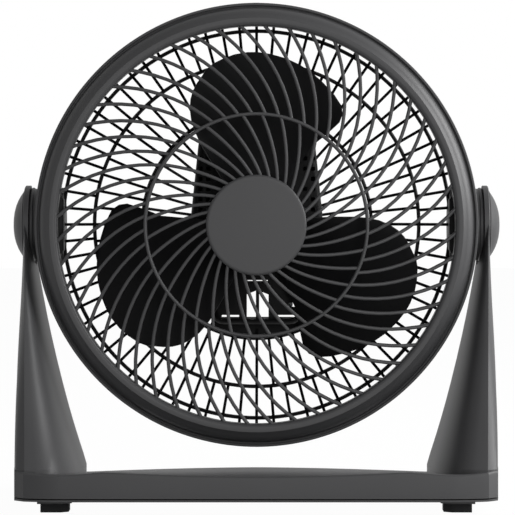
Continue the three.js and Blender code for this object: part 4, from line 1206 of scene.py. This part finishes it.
# %% Base plate
def foot_outline(x, y, z, width):
    half = width / 2
    side = 1 if x > 0 else -1
    plan = [(-1, -1), (0.44, -1), (1, -0.55), (1, 0.8), (0.8, 1), (-0.8, 1), (-1, 0.8)]
    return [on_floor(x - side * u * half, y + v * half, z) for u, v in plan]


foot_nodes = [f"foot_{end}_{side}" for end in ("front", "rear") for side in ("left", "right")]
foot_middles = [middle_of(name) / MM for name in foot_nodes]
plate_rows = []
for inset, level in ((0.4, 7.6), (0, 8.0), (0, 8.75)):
    plate_rows.append(plan_row(inset, lambda x, y: level, lambda x, y: level))
base_plate = skin_on_plan("base_cover", plate_rows)
for middle in foot_middles:
    collar = start_piece("collar")
    draw_outline(foot_outline(middle.x, middle.y, 4.8, 18.9))
    extrude_by((0, 0, 3.4 * MM))
    leave_edit(collar)
    round_edges(collar, 0.3)
    fuse(base_plate, collar)
finish_piece(base_plate, "stand", CHARCOAL, ["base_plate"])

# %% [markdown]
# The feet are short rubber blocks of the same outline as their collars, a little smaller.

# %% Feet
for name, middle in zip(foot_nodes, foot_middles):
    foot = start_piece(f"{name}_rubber")
    draw_outline(foot_outline(middle.x, middle.y, 4.7, 15.5))
    extrude_by((0, 0, -4.7 * MM))
    leave_edit(foot)
    round_edges(foot, 0.3)
    finish_piece(foot, "stand", RUBBER, [name])

# %% [markdown]
# Four short screws hold the plate, with their heads toward the floor.

# %% Base screws
place_screws("base", 1.6, 8, (2, 7.3), (math.radians(-90), 0, 0), "stand")

# %% [markdown]
# ## Tilt pivots
# The head's bosses turn inside the arms, and a shallow dome covers each pivot screw. Both are
# turned round the tilt axis.

# %% Bosses and caps
for side, name in ((-1, "left"), (1, "right")):
    boss_profile = [(0, 109.5)] + [(20.2, 109.5), (21, 110.3), (21, 124.4), (20.4, 125), (20.4, 126)]
    boss_profile += [(21, 126.6), (21, 127.5), (20.2, 128.3), (0, 128.3)]
    boss = turned_pivot(f"tilt_boss_{name}", boss_profile, 96, side)
    finish_piece(boss, "head", CHARCOAL)
    dome = [(0, 138.4)]
    for share in (0.1, 0.25, 0.4, 0.55, 0.7, 0.82, 0.91, 0.97):
        dome.append((19.4 * share, 132.1 + 6.3 * (1 - share ** 2.5)))
    dome += [(19.4, 132.4), (19.4, 132), (17.9, 132), (17.4, 132.4), (0, 136.8)]
    cap = turned_pivot(f"pivot_dome_{name}", dome, 96, side)
    finish_piece(cap, "stand", CHARCOAL, [f"pivot_cap_{name}"])

# %% [markdown]
# ## Studio
# The backdrop and the floor are white to the camera and give less light than they show, so the
# plastic isn't washed out. The floor is mixed from a plain surface, which keeps the fan's shadow,
# and a white glow.

# %% Floor
FLOOR_GLOW = 0.97


def seen_directly(finish):
    """1 for rays from the camera, in a reflection or through glass, and 0 for light on the object."""
    seen = finish.node("ShaderNodeLightPath", output="Is Camera Ray")
    for ray in ("Is Glossy Ray", "Is Transmission Ray"):
        seen = seen + finish.node("ShaderNodeLightPath", output=ray)
    return finish.node("ShaderNodeClamp", inputs={"Value": seen})


floor_finish = Finish("studio_floor", (0.8, 0.8, 0.8), 0.9)
glow = floor_finish.node("ShaderNodeEmission", inputs={"Color": (1, 1, 1, 1), "Strength": 1.0})
surface = Wire(floor_finish, floor_finish.shader.outputs[0])
mix_inputs = {0: FLOOR_GLOW * seen_directly(floor_finish), 1: surface, 2: glow}
mixed = floor_finish.node("ShaderNodeMixShader", inputs=mix_inputs)
floor_finish.connect(floor_finish.tree.nodes["Material Output"].inputs["Surface"], mixed)

bpy.ops.object.select_all(action="DESELECT")
bpy.ops.mesh.primitive_plane_add(size=12)
floor = bpy.context.object
floor.name = "studio_floor"
floor.data.materials.append(floor_finish.material)
print("floor", tuple(floor.dimensions))

# %% [markdown]
# The world is white where it is seen, and much weaker where it lights the plastic.

# %% World
AMBIENT = 0.22


class Backdrop(Finish):
    """The world has nodes of its own, and no principled shader."""

    def __init__(self, name):
        self.world = bpy.data.worlds.new(name)
        self.world.use_nodes = True
        self.tree = self.world.node_tree


backdrop = Backdrop("studio_world")
bpy.context.scene.world = backdrop.world
background = backdrop.tree.nodes["Background"]
background.inputs["Color"].default_value = (1, 1, 1, 1)
backdrop.connect(background.inputs["Strength"], AMBIENT + (1 - AMBIENT) * seen_directly(backdrop))
print("ambient light", AMBIENT)

# %% [markdown]
# A large softbox stands high at the right and gives the rim and the stand their bright edges. A
# weaker one in front opens the shadows.

# %% Lamps
def softbox(name, place, aim, size, power):
    data = bpy.data.lights.new(name, "AREA")
    data.shape = "RECTANGLE"
    data.size, data.size_y = size
    data.energy = power
    lamp = bpy.data.objects.new(name, data)
    bpy.context.scene.collection.objects.link(lamp)
    lamp.location = place
    lamp.rotation_euler = (Vector(aim) - Vector(place)).to_track_quat("-Z", "Y").to_euler()
    print(name, power, "W")


softbox("key_softbox", (1.8, -0.12, 0.95), (0, 0, 0.16), (1.3, 1.3), 82)
softbox("front_softbox", (0.5, -2.4, 0.5), (0, 0, 0.16), (0.7, 1.0), 22)

bpy.context.scene.view_settings.view_transform = "Standard"

# %% [markdown]
# ## Inner pieces
# The motor, its brackets and bearings, the switch and the pivot hardware keep the shapes of their
# solids and get real finishes.

# %% Finishes of the CAD nodes
node_finishes = {
    "charcoal": CHARCOAL,
    "grille": GRILLE_PLASTIC,
    "blade": BLADE_PLASTIC,
    "rubber": RUBBER,
    "steel": STEEL,
    "iron": IRON,
    "copper": COPPER,
}
for part in frame["record"]["subparts"]:
    node = frame["nodes"][part["node"]]
    node.data.materials.clear()
    node.data.materials.append(node_finishes[part["material_slot"]])
